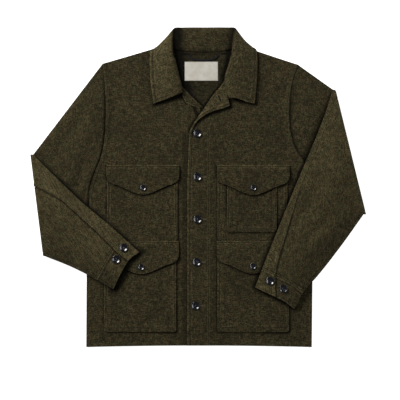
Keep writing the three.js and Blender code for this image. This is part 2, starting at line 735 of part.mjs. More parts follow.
// Buttons: a rimmed disc, dished in the middle
function addButton(name, size, x, y, z) {
  const { radius, height } = size;
  const profile = [
    [0, 0], [radius - 0.9, 0], [radius, 0.9], [radius, height - 0.9], [radius - 1, height],
    [radius * 0.62, height - 1], [0, height - 1],
  ].map(([r, h]) => new THREE.Vector2(r, h));
  const geometry = new THREE.LatheGeometry(profile, 14);
  geometry.rotateX(Math.PI / 2);
  geometry.translate(x, y, z);
  addPiece(name, geometry, horn);
}
frontButtons.forEach((at, i) => {
  const seat = Math.max(...[-10, 0, 10].map((reach) => onFront('left', 0)(at.x + reach, at.y)));
  addButton(`button_front_${i + 1}`, buttonSizes.front, at.x, at.y, seat);
});
flaps.forEach((flap) => {
  const y = flap.point + flapButtonUp[flap.front];
  const seat = onFront(flap.front, flap.level + 1)(flap.tip, y) + flapButtonLift;
  addButton(`button_${flap.name}`, buttonSizes.flap, flap.tip, y, seat);
});

// The height of the top of a cuff at a place in plan, from the nearest of a grid of places on it
function cuffTop(arm, x, y) {
  let best = { gap: Infinity, z: 0 };
  steps(20).forEach((along) => {
    const way = mix(cuffStart, 3, along);
    steps(48).forEach((share) => {
      const p = arm.point(way, share * arm.width(way), -sleeve.spread - cloth / 2);
      const gap = distance(p, { x, y });
      if (gap < best.gap) best = { gap, z: p.z };
    });
  });
  return best.z;
}
Object.entries({ right: rightArm, left: leftArm }).forEach(([name, arm]) => {
  cuffButtons[name].forEach((at, i) => {
    const seat = Math.max(...[-8, 0, 8].map((reach) => cuffTop(arm, at.x + reach, at.y - reach)));
    addButton(`button_cuff_${name}_${i + 1}`, buttonSizes.cuff, at.x, at.y, seat + seam);
  });
});

// Hanger loop and label, inside the back of the neck
const onBack = (x, y) => backUnder(x, y) + layer;
const loopPath = new THREE.CatmullRomCurve3(loop.route.map((p) => (
  new THREE.Vector3(p.x, p.y, onBack(p.x, p.y) + loop.radius))), false, 'centripetal');
const loopSection = new THREE.Shape();
loopSection.absarc(0, 0, loop.radius, 0, 2 * Math.PI, false);
addPiece('hanger_loop', new THREE.ExtrudeGeometry(loopSection, {
  steps: 16, curveSegments: 4, bevelEnabled: false, extrudePath: loopPath,
}), tape);
addPanel('label', patch({
  bottom: walk([{ x: label.left, y: label.bottom }, { x: label.right, y: label.bottom }]),
  right: walk([{ x: label.right, y: label.bottom }, { x: label.right, y: label.top }]),
  top: walk([{ x: label.left, y: label.top }, { x: label.right, y: label.top }]),
  left: walk([{ x: label.left, y: label.bottom }, { x: label.left, y: label.top }]),
}), (x, y) => onBack(x, y) + 0.1, { across: steps(4), along: steps(5) }, linen, label.thickness);

export default jacket;
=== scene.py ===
# A mackinaw jacket in thick felted wool, laid flat on its back with both sleeves folded over at the elbow.
# The cloth is worked out in millimetres in the jacket's own plan, x across from its centre and y up from
# the hem, with the table at z = 0, and every mesh is made in metres in the frame's coordinates.
# Sides are the wearer's: the wearer's right lies at -X.

import math

import bmesh
import bpy
import numpy as np
from mathutils import Matrix, Vector
from mathutils.bvhtree import BVHTree


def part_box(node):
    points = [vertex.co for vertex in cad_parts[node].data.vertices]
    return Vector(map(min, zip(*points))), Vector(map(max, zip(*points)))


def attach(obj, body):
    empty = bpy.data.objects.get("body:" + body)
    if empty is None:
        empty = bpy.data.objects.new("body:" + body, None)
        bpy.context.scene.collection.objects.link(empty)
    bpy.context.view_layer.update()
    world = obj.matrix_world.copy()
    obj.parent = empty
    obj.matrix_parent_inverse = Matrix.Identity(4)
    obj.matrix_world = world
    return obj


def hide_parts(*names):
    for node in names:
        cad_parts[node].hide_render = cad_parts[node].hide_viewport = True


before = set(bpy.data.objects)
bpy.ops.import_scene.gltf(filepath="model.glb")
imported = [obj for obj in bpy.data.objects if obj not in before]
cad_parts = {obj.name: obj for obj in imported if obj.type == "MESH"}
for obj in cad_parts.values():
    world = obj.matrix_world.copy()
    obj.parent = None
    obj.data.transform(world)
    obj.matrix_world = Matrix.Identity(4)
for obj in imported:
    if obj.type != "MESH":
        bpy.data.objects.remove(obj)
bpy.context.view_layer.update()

# Driving sizes, in millimetres
CLOTH = 2.2
SEAM = 0.3
LAYER = CLOTH + SEAM
LOFT = 1.2
ROUND = 2.3                     # width over which a cut or turned edge is rounded
HEM_RIGHT, HEM_LEFT, HEM_BOW = -293.0, 293.0, 4.0
UNDER_EDGE = 21.0               # edge of the under front
TOP_EDGE = -30.0                # edge of the top front
NECK_RIGHT, NECK_LEFT = (-86, 784), (109, 782)
TIP_RIGHT, TIP_LEFT = (-251, 736), (259, 733)

# The jacket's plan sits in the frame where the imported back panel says
back_low = 1000 * np.array(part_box("back")[0])
PLAN_X = HEM_RIGHT - back_low[0]
PLAN_Y = -back_low[1]

SIDE_RIGHT = [
    (-293, 0), (-292.5, 94), (-292, 187), (-290.5, 280), (-289, 374), (-286, 410), (-273, 452),
    (-254, 500), (-245, 555), (-243, 612), (-244, 660), (-247, 702), TIP_RIGHT,
]
SIDE_LEFT = [
    (293, 0), (294, 104), (295, 208), (294, 311), (293, 415), (287, 455), (272, 486),
    (252, 517), (240, 556), (236, 602), (238, 650), (246, 698), TIP_LEFT,
]
ARMHOLE_POINTS = 9
BACK_NECK = [NECK_RIGHT, (-64, 770), (-23, 764), (16, 763), (55, 764), (88, 770), NECK_LEFT]
LAPEL_ROLL = [(-23, 562), (-16, 577), (0, 601), (18, 627), (39, 658), (55, 676), (66, 692)]
LAPEL_EDGE = [(-19, 558), (-14, 573), (-5, 586), (8, 597), (23, 606), (39, 613), (60, 619), (80, 626)]
LAPEL_LIFT = 6                  # how far the outer edge of the lapel stands off the front
RIGHT_NECK_EDGE = [(-41, 673), (-50, 690), (-64, 731), (-77, 762), NECK_RIGHT]


def named_rows(fields, rows):
    return {name: dict(zip(fields, row)) for name, row in rows.items()}


# Edges in plan. The level is how many layers of cloth lie on the front below
POCKETS = named_rows(("front", "left", "right", "bottom", "top", "level"), {
    "pocket_right_chest": ("right", -239, -55, 276.3, 455, 0),
    "pocket_right_hip": ("right", -246, -59, 39, 258, 0),
    "pocket_left_hand": ("left", 48, 230, 276.3, 455, 0),
    "pocket_left_patch": ("left", 73, 202, 299, 453, 1),
    "pocket_left_hip": ("left", 48, 234, 39, 258, 0),
})
# Distances of the rows of stitches from each edge
FRONT_STITCH = 7.5
FACING_STITCH = 6
FLAP_STITCH = 3.5
SLEEVE_STITCH = 5.5
COLLAR_STITCH = 8.5
POCKET_LINES = {
    "pocket_right_chest": {"left": [6, 12], "right": [6]},
    "pocket_left_hand": {"left": [6, 12], "right": [6]},
    "pocket_right_hip": {"left": [6, 12], "bottom": [11], "right": [6]},
    "pocket_left_hip": {"left": [6, 12], "bottom": [11], "right": [6]},
    "pocket_left_patch": {"left": [5, 15], "bottom": [4, 9], "right": [4, 14]},
}
FLAPS = named_rows(("front", "left", "right", "tip", "point", "top", "level"), {
    "flap_right_chest": ("right", -240, -51, -145, 396, 473, 1),
    "flap_right_hip": ("right", -246, -52, -150, 190, 276, 1),
    "flap_left_chest": ("left", 47, 235, 141, 395, 473, 2),
    "flap_left_hip": ("left", 46, 235, 140, 191, 276, 1),
})
FLAP_LIFT = 2.4                 # extra height of a flap's free edge
# Half of a flap's lower edge, from corner to point: share of the half width, height above the point
FLAP_EDGE = [(1, 47), (0.966, 38), (0.86, 29.5), (0.65, 22.5), (0.42, 12.5), (0.24, 5), (0.08, 0.6)]

ARMS = {
    "right": dict(
        side=-1, armhole=SIDE_RIGHT[-ARMHOLE_POINTS:][::-1],
        over=(-438, 501), under=(-405, 237),
        over_edge=[(-352, 422), (-294, 368), (-238, 322)],
        under_edge=[(-330, 208), (-292, 190)],
        wrist=[(-154, 247), (-179, 229), (-191, 212), (-206, 184), (-222, 151)],
        back_seam=[(0, 0.32), (0.28, 0.215), (0.42, 0.22), (0.65, 0.26), (0.87, 0.32), (1, 0.315)],
    ),
    "left": dict(
        side=1, armhole=SIDE_LEFT[-ARMHOLE_POINTS:][::-1],
        over=(355, 667), under=(434, 344),
        over_edge=[(320, 585), (244, 403), (190, 270)],
        under_edge=[(374, 270), (306, 184), (271, 146)],
        wrist=[(145, 156), (170, 144), (198, 131), (222, 119), (247, 99)],
        back_seam=[(0, 0.07), (0.42, 0.085), (0.6, 0.165), (0.75, 0.25), (0.92, 0.41), (1, 0.51)],
    ),
}
SPREAD = 1.5                    # from a sleeve's middle surface to the middle of each wall
ELBOW_RADIUS = 4.8
HEAD_PUFF = 6.0                 # fullness of the upper arm below its armhole seam
FORE_PUFF = 7.0
FOLD_DEPTH = 1.5
MOUTH = 6.0                     # how far the upper side of a cuff stands open at the wrist
UNDERARM_SEAM = 8.0
CUFF_DEPTH = 56.0
CUFF_SHARE = 0.185              # share of the rows along the forearm that the cuff takes
SAG = 6.0
TUCK = 1.0                      # how far a sleeve is drawn in at its armhole seam
FOREARM_RISE = [(0, 7.2), (0.3, 8.6), (0.55, 9.4), (0.78, 12.9), (1, 13.2)]

FRONT_BUTTONS = [(-4, 555), (-4, 442), (-4, 332), (-6, 221), (-9, 108)]
CUFF_BUTTONS = {"right": [(-195, 259), (-214, 229)], "left": [(184, 173), (218, 153)]}


# Small helpers
def ease(start, end, value):
    share = np.clip((value - start) / (end - start), 0, 1)
    return share * share * (3 - 2 * share)


def mix(a, b, share):
    return a + (b - a) * share


def bell(value, centre, width):
    """1 at the centre, falling away on both sides."""
    return np.exp(-(((value - centre) / width) ** 2))


def smooth(points, per_stretch=8):
    """A centripetal spline through points, as a closely spaced list."""
    p = np.array(points, float)
    p = np.vstack([2 * p[0] - p[1], p, 2 * p[-1] - p[-2]])
    out = []
    for k in range(1, len(p) - 2):
        a, b, c, d = p[k - 1], p[k], p[k + 1], p[k + 2]
        t0 = math.sqrt(np.linalg.norm(b - a))
        t1 = math.sqrt(np.linalg.norm(c - b))
        t2 = math.sqrt(np.linalg.norm(d - c))
        m1 = t1 * ((b - a) / t0 - (c - a) / (t0 + t1) + (c - b) / t1)
        m2 = t1 * ((c - b) / t1 - (d - b) / (t1 + t2) + (d - c) / t2)
        for s in np.arange(per_stretch) / per_stretch:
            s2, s3 = s * s, s * s * s
            places = (2 * s3 - 3 * s2 + 1) * b + (3 * s2 - 2 * s3) * c
            out.append(places + (s3 - 2 * s2 + s) * m1 + (s3 - s2) * m2)
    out.append(p[-2])
    return [tuple(q) for q in out]


class Walk:
    """A walk along a list of points: share 0 is its start and 1 its end."""

    def __init__(self, points, by_point=False):
        self.points = np.array(points, float)
        steps = np.linalg.norm(np.diff(self.points, axis=0), axis=1)
        self.length = float(steps.sum())
        self.reached = np.arange(len(points)) if by_point else np.concatenate([[0], np.cumsum(steps)])

    def __call__(self, share):
        at = np.clip(share, 0, 1) * self.reached[-1]
        return np.stack([np.interp(at, self.reached, column) for column in self.points.T], -1)


def patch(bottom, right, top, left):
    """A four-sided patch in plan, filled in between its edges."""
    corners = bottom(0.0), bottom(1.0), top(0.0), top(1.0)

    def at(u, v):
        uu, vv = u[..., None], v[..., None]
        fill = (1 - vv) * bottom(u) + vv * top(u) + (1 - uu) * left(v) + uu * right(v)
        low = (1 - uu) * corners[0] + uu * corners[1]
        high = (1 - uu) * corners[2] + uu * corners[3]
        return fill - (1 - vv) * low - vv * high

    return at


# Distances of the rows of points from a rounded edge, and how they go on over sewn and fine stretches
RIM_MARKS = (0, 0.1, 0.4, 0.85, 1.5, 2.3)
SEWN_START, SEWN_STEP, FINE_STEP = 3.4, 1.2, 1.1


def thinned(places, least):
    """The places in order, without those that crowd the one before. The last one stays."""
    places = sorted(places)
    kept = [places[0]]
    for place in places[1:]:
        if place - kept[-1] > least:
            kept.append(place)
    kept[-1] = places[-1]
    return np.array(kept)


def marks(length, pitch, seamed=12, fine=()):
    """Places along a length: close together over the rounded edges, the sewn edges and any fine stretch."""
    near = list(RIM_MARKS) + list(np.arange(SEWN_START, seamed, SEWN_STEP))
    places = near + [length - m for m in near]
    dense = [(0, seamed), (length - seamed, length)] + list(fine)
    for start, end in fine:
        places += list(np.arange(start, end, FINE_STEP))
    count = max(2, round(length / pitch))
    places += [m for m in np.linspace(0, length, count + 1) if not any(a <= m <= b for a, b in dense)]
    return thinned([place for place in places if 0 <= place <= length], 0.05) / length


def run_lengths(points, axis):
    steps = np.linalg.norm(np.diff(points, axis=axis), axis=-1)
    reached = np.cumsum(steps, axis=axis)
    pad = [(0, 0), (0, 0)]
    pad[axis] = (1, 0)
    return np.pad(reached, pad)


def rounded(distance, width=ROUND):
    """How much of the full thickness a wall has at a distance from its edge."""
    return np.sqrt(np.clip(1 - (1 - np.clip(distance / width, 0, 1)) ** 2, 0, 1))


def ridges(x, y, rows):
    """Soft folds, listed: each row is start, end, half width and height, negative for a trough."""
    total = np.zeros_like(x)
    for x0, y0, x1, y1, width, height in rows:
        dx, dy = x1 - x0, y1 - y0
        length = math.hypot(dx, dy)
        along = ((x - x0) * dx + (y - y0) * dy) / length
        aside = ((y - y0) * dx - (x - x0) * dy) / length
        taper = ease(-0.15 * length, 0.3 * length, along) * ease(1.15 * length, 0.7 * length, along)
        bend = aside + 0.06 * length * np.sin(np.pi * np.clip(along / length, 0, 1))
        total += height * taper * bell(bend, 0, width)
    return total


def undulate(x, y):
    """The slight unevenness of thick cloth that lies on cloth."""
    slow = np.sin(x / 43 + 0.9 + 0.8 * np.sin(y / 87)) * np.sin(y / 57 + 0.4)
    quick = np.sin(x / 21 + y / 39 + 2.1) * np.sin(y / 27 - x / 49 + 0.7)
    return 0.34 * slow + 0.16 * quick


def line_distance(x, y, points):
    """The shortest distance in plan from places to a line through points."""
    best = np.full(np.shape(x), 1e9)
    for (x0, y0), (x1, y1) in zip(points, points[1:]):
        dx, dy = x1 - x0, y1 - y0
        share = np.clip(((x - x0) * dx + (y - y0) * dy) / (dx * dx + dy * dy), 0, 1)
        best = np.minimum(best, np.hypot(x - x0 - share * dx, y - y0 - share * dy))
    return best


# How dark the painted shade of a crease is: the wear and shade value goes down to this much below zero in it
CREASE_DEPTH = 1.8


def crease_shade(x, y, creases):
    """Painted shade: cloth is darker beside an edge that lies on it. A crease is a line and its reach."""
    shade = np.zeros(np.shape(x))
    for points, reach in creases:
        shade = np.maximum(shade, ease(reach, 0.3, line_distance(x, y, points)) ** 1.4)
    return -CREASE_DEPTH * shade


def flap_lower(flap):
    """The lower edge of a flap from its left corner to its right one."""
    right, left = flap["right"] - flap["tip"], flap["tip"] - flap["left"]
    right_half = [(flap["tip"] + out * right, flap["point"] + up) for out, up in FLAP_EDGE]
    left_half = [(flap["tip"] - out * left, flap["point"] + up) for out, up in FLAP_EDGE]
    return smooth([*left_half, (flap["tip"], flap["point"]), *right_half[::-1]])


def pocket_creases(name):
    """The lines of painted shade along the bottom and the right edge of a pocket, and the slighter one at its
    left edge.
    """
    pocket = POCKETS["pocket_" + name]
    far_edges = [(pocket["left"] + 4, pocket["bottom"]), (pocket["right"], pocket["bottom"]),
                 (pocket["right"], pocket["top"])]
    left_edge = [(pocket["left"] - 0.5, pocket["top"] - 30), (pocket["left"] - 0.5, pocket["bottom"])]
    return [(far_edges, 6), (left_edge, 3.4)]


def flap_crease(name, reach):
    flap = FLAPS["flap_" + name]
    return [(flap["left"], flap["top"] - 4), *flap_lower(flap)[::2], (flap["right"], flap["top"] - 4)], reach


# Lines on which the cloth is shaded
SLEEVE_CREASES = [([arm["over"], *arm["over_edge"], *arm["wrist"]], 15) for arm in ARMS.values()]
FOREARM_TROUGH = [([(302, 446), (288, 410), (272, 356)], 22)]
MOUTH_SHADE = ARMS["right"]["wrist"]
ROLL_RIGHT = [(-43, 655), (-43, 668), (-48, 694), (-58, 731), (-68, 772)]
ROLL_LEFT = [(77, 647), (68, 680), (69, 702), (76, 730), (84, 763)]
# For each piece, the lines along which shade is painted on it, and how far each one reaches
CREASES = {
    "cloth_back": [
        (ROLL_RIGHT, 50), (ROLL_LEFT, 20), (LAPEL_ROLL, 9), ([(-43, 673), (9, 624)], 10),
    ],
    "cloth_front_right": [
        *pocket_creases("right_chest"), *pocket_creases("right_hip"),
        flap_crease("right_chest", 7), flap_crease("right_hip", 7),
        ([(-118, 630), (-43, 655)], 11), ([(-44, 654), (-33, 633)], 7), ([(-15, 625), (-3, 601)], 10),
        (LAPEL_ROLL, 12), (MOUTH_SHADE, 28),
    ],
    "cloth_front_left": [
        *pocket_creases("left_hand"), *pocket_creases("left_hip"),
        flap_crease("left_chest", 7), flap_crease("left_hip", 7), (LAPEL_EDGE, 14),
        ([(80, 626), (84, 647), (144, 632)], 11), ([(144, 632), (151, 722), (150, 768)], 5),
    ],
    "cloth_facing_right": [(ROLL_RIGHT, 14)],
    "cloth_facing_left": [([(78, 646), (90, 644)], 8)],
    "cloth_pocket_right_chest": [flap_crease("right_chest", 8)],
    "cloth_pocket_right_hip": [flap_crease("right_hip", 8), (MOUTH_SHADE, 28)],
    "cloth_flap_right_hip": [(MOUTH_SHADE, 24)],
    "cloth_pocket_left_hand": [flap_crease("left_chest", 8), *pocket_creases("left_patch")],
    "cloth_pocket_left_patch": [flap_crease("left_chest", 8)],
    "cloth_pocket_left_hip": [flap_crease("left_hip", 8)],
}


# Making meshes
def in_frame(x, y, z):
    """A place in plan and a height, in millimetres, as a point of the frame in metres."""
    return (x - PLAN_X) / 1000, (y - PLAN_Y) / 1000, z / 1000


def add_object(name, data):
    made = bpy.data.objects.new(name, data)
    bpy.context.scene.collection.objects.link(made)
    return made


def dress(mesh, material):
    """Smooth faces and one material."""
    mesh.polygons.foreach_set("use_smooth", [True] * len(mesh.polygons))
    mesh.materials.clear()
    mesh.materials.append(material)


def built(build, name, outward=False):
    """The mesh of what was built with bmesh."""
    if outward:
        bmesh.ops.recalc_face_normals(build, faces=build.faces)
    mesh = bpy.data.meshes.new(name)
    build.to_mesh(mesh)
    build.free()
    return mesh


def applied(holder):
    """The mesh of an object with its modifiers applied. The object goes."""
    mesh = bpy.data.meshes.new_from_object(holder.evaluated_get(bpy.context.evaluated_depsgraph_get()))
    bpy.data.objects.remove(holder)
    return mesh


def net_area(net):
    """The area of a net of points, in square metres: half the product of each cell's crossing diagonals."""
    falling = net[1:, 1:] - net[:-1, :-1]
    rising = net[1:, :-1] - net[:-1, 1:]
    return float(np.linalg.norm(np.cross(falling, rising), axis=-1).sum()) / 2e6


def cloth_mesh(name, middle, half, proud, grain, material, flip=False, wear_and_shade=None, wear_and_shade_inside=0.0):
    """A closed shell with round edges, from its middle surface, half its thickness and its raised relief."""
    across = np.gradient(middle, axis=1)
    along = np.gradient(middle, axis=0)
    normal = np.cross(across, along)
    normal /= np.linalg.norm(normal, axis=-1, keepdims=True) + 1e-12
    if flip:
        normal = -normal
    outer = middle + normal * (half + proud)[..., None]
    inner = middle - normal * half[..., None]
    # Cloth lies on the table, never in it
    for face in (outer, inner):
        face[..., 2] = np.maximum(face[..., 2], 0)
    rows, columns = half.shape
    shift = np.array([PLAN_X, PLAN_Y, 0])
    outside = (outer.reshape(-1, 3) - shift) / 1000
    inside = (inner[1:-1, 1:-1].reshape(-1, 3) - shift) / 1000
    index = np.arange(rows * columns).reshape(rows, columns)
    below = index.copy()
    below[1:-1, 1:-1] = rows * columns + np.arange((rows - 2) * (columns - 2)).reshape(rows - 2, columns - 2)

    def quads(grid):
        return np.stack([grid[:-1, :-1], grid[:-1, 1:], grid[1:, 1:], grid[1:, :-1]], -1).reshape(-1, 4)

    upper, lower = quads(index), quads(below)[:, ::-1]
    if flip:
        upper, lower = upper[:, ::-1], lower[:, ::-1]
    faces = np.vstack([upper, lower])
    mesh = bpy.data.meshes.new(name)
    mesh.from_pydata(np.vstack([outside, inside]), [], faces.tolist())
    uv_of_point = np.vstack([grain.reshape(-1, 2), grain[1:-1, 1:-1].reshape(-1, 2)]) / 1000
    layer = mesh.uv_layers.new(name="grain")
    layer.data.foreach_set("uv", uv_of_point[faces.reshape(-1)].reshape(-1))
    # The attribute holds rubbed wear and painted light above zero, and painted shade below zero
    if wear_and_shade is not None:
        wear_and_shade_layer = mesh.attributes.new("wear_and_shade", "FLOAT", "POINT")
        hidden = wear_and_shade_inside * wear_and_shade[1:-1, 1:-1]
        wear_and_shade_layer.data.foreach_set("value", np.concatenate([wear_and_shade.reshape(-1), hidden.reshape(-1)]))
    dress(mesh, material)
    return add_object(name, mesh)


# How wide a row of stitches sinks in, and how deep
ROW_WIDTH = 1.3
ROW_DEPTH = 0.75


def sewn_relief(reach, lines, swell=0.9):
    """A turned edge stands a little proud as far as its stitch lines, which lie in shallow grooves."""
    last = max(lines) if lines else 6
    relief = swell * ease(0.3, 2.6, reach) * ease(last + 5.5, last + 0.5, reach)
    for line in lines:
        relief = relief - ROW_DEPTH * bell(reach, line, ROW_WIDTH)
    return relief


def rub_and_groove_shade(reach, lines):
    """Where the nap of a turned edge is rubbed pale: the edge itself, and the ridges beside its stitching.
    Each row of stitches gets painted shade in its groove.
    """
    rub = ease(3.6, 0.8, reach)
    for line in lines:
        rub = rub + 0.75 * bell(reach, line + 3.0, ROW_WIDTH) - bell(reach, line, 1.4)
    return rub


def flat_size(xy):
    """The smallest rectangle round a flat cut, turned any way, in metres."""
    best = None
    for angle in np.arange(0, math.pi / 2, math.pi / 90):
        turned = xy @ np.array([[math.cos(angle), -math.sin(angle)], [math.sin(angle), math.cos(angle)]])
        size = np.ptp(turned[..., 0]), np.ptp(turned[..., 1])
        if best is None or size[0] * size[1] < best[0] * best[1]:
            best = size
    return float(best[0]) / 1000, float(best[1]) / 1000


class Panel:
    """A flat-lying piece of cloth: its plan, the height of its underside, its sewn edges and its relief."""

    def __init__(self, name, plan, under, pitch=5.0, thickness=CLOTH, sewn=None, fine_across=(), relief=None,
                 seamed=12, material=None, round_width=ROUND, crisp=(), shaded=None):
        self.plan = plan
        u = marks(self.span(plan, 0), pitch, seamed, fine_across)
        v = marks(self.span(plan, 1), pitch, seamed)
        uu, vv = np.meshgrid(u, v)
        xy = plan(uu, vv)
        x, y = xy[..., 0], xy[..., 1]
        across, along = run_lengths(xy, 1), run_lengths(xy, 0)
        reach = {
            "left": across, "right": across[:, -1:] - across,
            "bottom": along, "top": along[-1:, :] - along,
        }
        edge = np.minimum.reduce([reach[side] * (4 if side in crisp else 1) for side in reach])
        proud = np.zeros_like(x)
        # Rubbed edges are paler; the rows of stitches, the places that shaded gives and the creases get
        # painted shade
        wear_and_shade = 0.7 * ease(2.0, 0.5, edge)
        sewn = sewn or {}
        for side, lines in sewn.items():
            # Where two sewn edges meet, each keeps its relief up to the line between them
            own = np.ones_like(x)
            for other, other_lines in sewn.items():
                if other != side and other_lines and lines:
                    own = own * ease(-1.5, 1.5, reach[other] / other_lines[-1] * lines[-1] - reach[side])
            proud = proud + own * sewn_relief(reach[side], lines)
            wear_and_shade = wear_and_shade + own * rub_and_groove_shade(reach[side], lines)
        if relief:
            proud = proud + relief(x, y, reach)
        share = rounded(edge, round_width)
        z = under(x, y, uu, vv) + thickness / 2
        middle = np.stack([x, y, z], -1)
        self.area = net_area(np.dstack([xy, np.zeros_like(x)]))
        self.flat = flat_size(xy)
        wear_and_shade = np.clip(wear_and_shade, -1.0, 1.2)
        if shaded:
            wear_and_shade = wear_and_shade - shaded(x, y)
        wear_and_shade = wear_and_shade + crease_shade(x, y, SLEEVE_CREASES + CREASES.get(name, []))
        self.piece = cloth_mesh(name, middle, share * thickness / 2, share * proud, xy, material or wool,
                                wear_and_shade=wear_and_shade)

    @staticmethod
    def span(plan, axis):
        t = np.linspace(0, 1, 40)
        best = 0
        for other in (0.25, 0.5, 0.75):
            fixed = np.full_like(t, other)
            line = plan(t, fixed) if axis == 0 else plan(fixed, t)
            best = max(best, float(np.linalg.norm(np.diff(line, axis=0), axis=1).sum()))
        return best


# Shader maths: a wrapped socket adds its Math nodes as it is used in an expression
class Value:
    def __init__(self, tree, socket):
        self.tree, self.socket = tree, socket

    def maths(self, operation, *others, clamp=False):
        node = self.tree.nodes.new("ShaderNodeMath")
        node.operation = operation
        node.use_clamp = clamp
        for place, item in enumerate((self,) + others):
            if isinstance(item, Value):
                self.tree.links.new(item.socket, node.inputs[place])
            else:
                node.inputs[place].default_value = item
        return Value(self.tree, node.outputs[0])

    def __add__(self, other):
        return self.maths("ADD", other)

    def __mul__(self, other):
        return self.maths("MULTIPLY", other)

    def clamped(self):
        return self.maths("ADD", 0, clamp=True)

    def between(self, low, high):
        """0 below low, 1 above high, eased in between."""
        node = self.tree.nodes.new("ShaderNodeMapRange")
        node.interpolation_type = "SMOOTHSTEP"
        self.tree.links.new(self.socket, node.inputs["Value"])
        node.inputs["From Min"].default_value = low
        node.inputs["From Max"].default_value = high
        return Value(self.tree, node.outputs[0])


class Finish:
    """A material under construction."""

    def __init__(self, name, roughness=0.9, specular=0.3, **sockets):
        self.material = bpy.data.materials.new(name)
        self.material.use_nodes = True
        self.tree = self.material.node_tree
        self.shader = self.tree.nodes["Principled BSDF"]
        self.shader.inputs["Roughness"].default_value = roughness
        self.shader.inputs["Specular IOR Level"].default_value = specular
        for socket, value in sockets.items():
            self.shader.inputs[socket.replace("_", " ")].default_value = value

    def node(self, kind, settings=None, output=0, **inputs):
        node = self.tree.nodes.new(kind)
        for key, value in (settings or {}).items():
            setattr(node, key, value)
        for key, value in inputs.items():
            socket = node.inputs[key.replace("_", " ")]
            if isinstance(value, Value):
                self.tree.links.new(value.socket, socket)
            else:
                socket.default_value = value
        return Value(self.tree, node.outputs[output])

    def place(self, scale=(1, 1, 1), turn=0.0, grain=False):
        """Object coordinates, or the cloth's own grain, scaled and turned."""
        source = (self.node("ShaderNodeUVMap", {"uv_map": "grain"}) if grain
                  else self.node("ShaderNodeTexCoord", output="Object"))
        return self.node("ShaderNodeMapping", Vector=source, Scale=scale, Rotation=(0, 0, turn))

    def noise(self, place, scale, detail=3.0, roughness=0.55):
        return self.node("ShaderNodeTexNoise", Vector=place, Scale=scale, Detail=detail, Roughness=roughness)

    def blend(self, share, a, b):
        node = self.tree.nodes.new("ShaderNodeMix")
        node.data_type = "RGBA"
        for socket, value in ((node.inputs[0], share), (node.inputs[6], a), (node.inputs[7], b)):
            if isinstance(value, Value):
                self.tree.links.new(value.socket, socket)
            elif isinstance(value, (int, float)):
                socket.default_value = value
            else:
                socket.default_value = (*value, 1)
        return Value(self.tree, node.outputs[2])

    def drive(self, label, value):
        self.tree.links.new(value.socket, self.shader.inputs[label])

    def colour(self, value):
        self.drive("Base Color", value)

    def bump(self, height, distance):
        self.drive("Normal", self.node("ShaderNodeBump", Height=height, Distance=distance))

    def scaled(self, colour, factor):
        return self.node("ShaderNodeVectorMath", {"operation": "SCALE"}, Vector=colour, Scale=factor)

    def speckle(self, share, colour, low, high):
        """Two tones of one colour, by a share."""
        self.colour(self.blend(share, tuple(low * c for c in colour), tuple(high * c for c in colour)))


# The colours of the fibres: brown, olive, dark and pale
FIBRES = [(0.05, 0.0272, 0.0118), (0.0195, 0.029, 0.0082), (0.0098, 0.0082, 0.004), (0.12, 0.1, 0.05)]
# How rubbed wear with painted light, and painted shade, change the cloth's colour: the factor, and its share
# at full strength
WEAR_AND_LIGHT = (2.4, 0.62)
PAINTED_SHADE = (0.08, 0.58)


def make_wool(name, light=1.0):
    """Heathered felted wool: olive, brown and pale fibres over a faint weave, with a short matted nap."""
    finish = Finish(name, roughness=0.95, specular=0.12, Sheen_Weight=0.07, Sheen_Roughness=0.5,
                    Sheen_Tint=(0.75, 0.66, 0.42, 1))
    here = finish.place()
    brown, olive, dark, pale = (tuple(light * np.array(colour)) for colour in FIBRES)
    tufts = finish.noise(here, 300, detail=3, roughness=0.6)
    clouds = finish.noise(here, 95, detail=3)
    broad = finish.noise(here, 11, detail=2)
    hue = finish.noise(here, 230, detail=2)
    along = finish.noise(finish.place(scale=(1, 4.5, 1), grain=True), 75, detail=2)
    across = finish.noise(finish.place(scale=(4.5, 1, 1), grain=True), 75, detail=2)
    flecks = finish.noise(here, 520, detail=2, roughness=0.5)
    wear_and_shade = finish.node("ShaderNodeAttribute", {"attribute_name": "wear_and_shade"}, output="Fac")
    ground = finish.blend(hue.between(0.43, 0.57), brown, olive)
    tones = [
        (tufts, 0.43, 0.58, 0.95, dark), (along, 0.5, 0.64, 0.38, pale), (across, 0.5, 0.64, 0.32, pale),
        (flecks, 0.53, 0.64, 0.62, pale), (clouds, 0.42, 0.64, 0.42, dark), (broad, 0.35, 0.7, 0.25, dark),
    ]
    for spread, low, high, share, tone in tones:
        ground = finish.blend(spread.between(low, high) * share, ground, tone)
    # Above zero, rubbed wear and painted light make the cloth paler; below zero, painted shade darkens it
    bright, dim = finish.scaled(ground, WEAR_AND_LIGHT[0]), finish.scaled(ground, PAINTED_SHADE[0])
    ground = finish.blend(wear_and_shade.clamped() * WEAR_AND_LIGHT[1], ground, bright)
    finish.colour(finish.blend((wear_and_shade * -PAINTED_SHADE[1]).clamped(), ground, dim))
    fuzz = finish.noise(here, 900, detail=4, roughness=0.7)
    height = fuzz * 0.35 + tufts * 0.9 + (along + across) * 0.5 + clouds * 0.5
    finish.bump(height, 0.0013)
    return finish.material


wool = make_wool("heathered_wool")
# A lighter copy of the wool for the collar and the lapel: painted light, as these parts face the lamp
collar_wool = make_wool("collar_wool", light=1.35)


# Heights of the layers
def back_under(x, y, u=None, v=None):
    near = ease(152 + 45, 152, np.abs(x - 13))
    return LAYER * ease(655, 742, y) * near


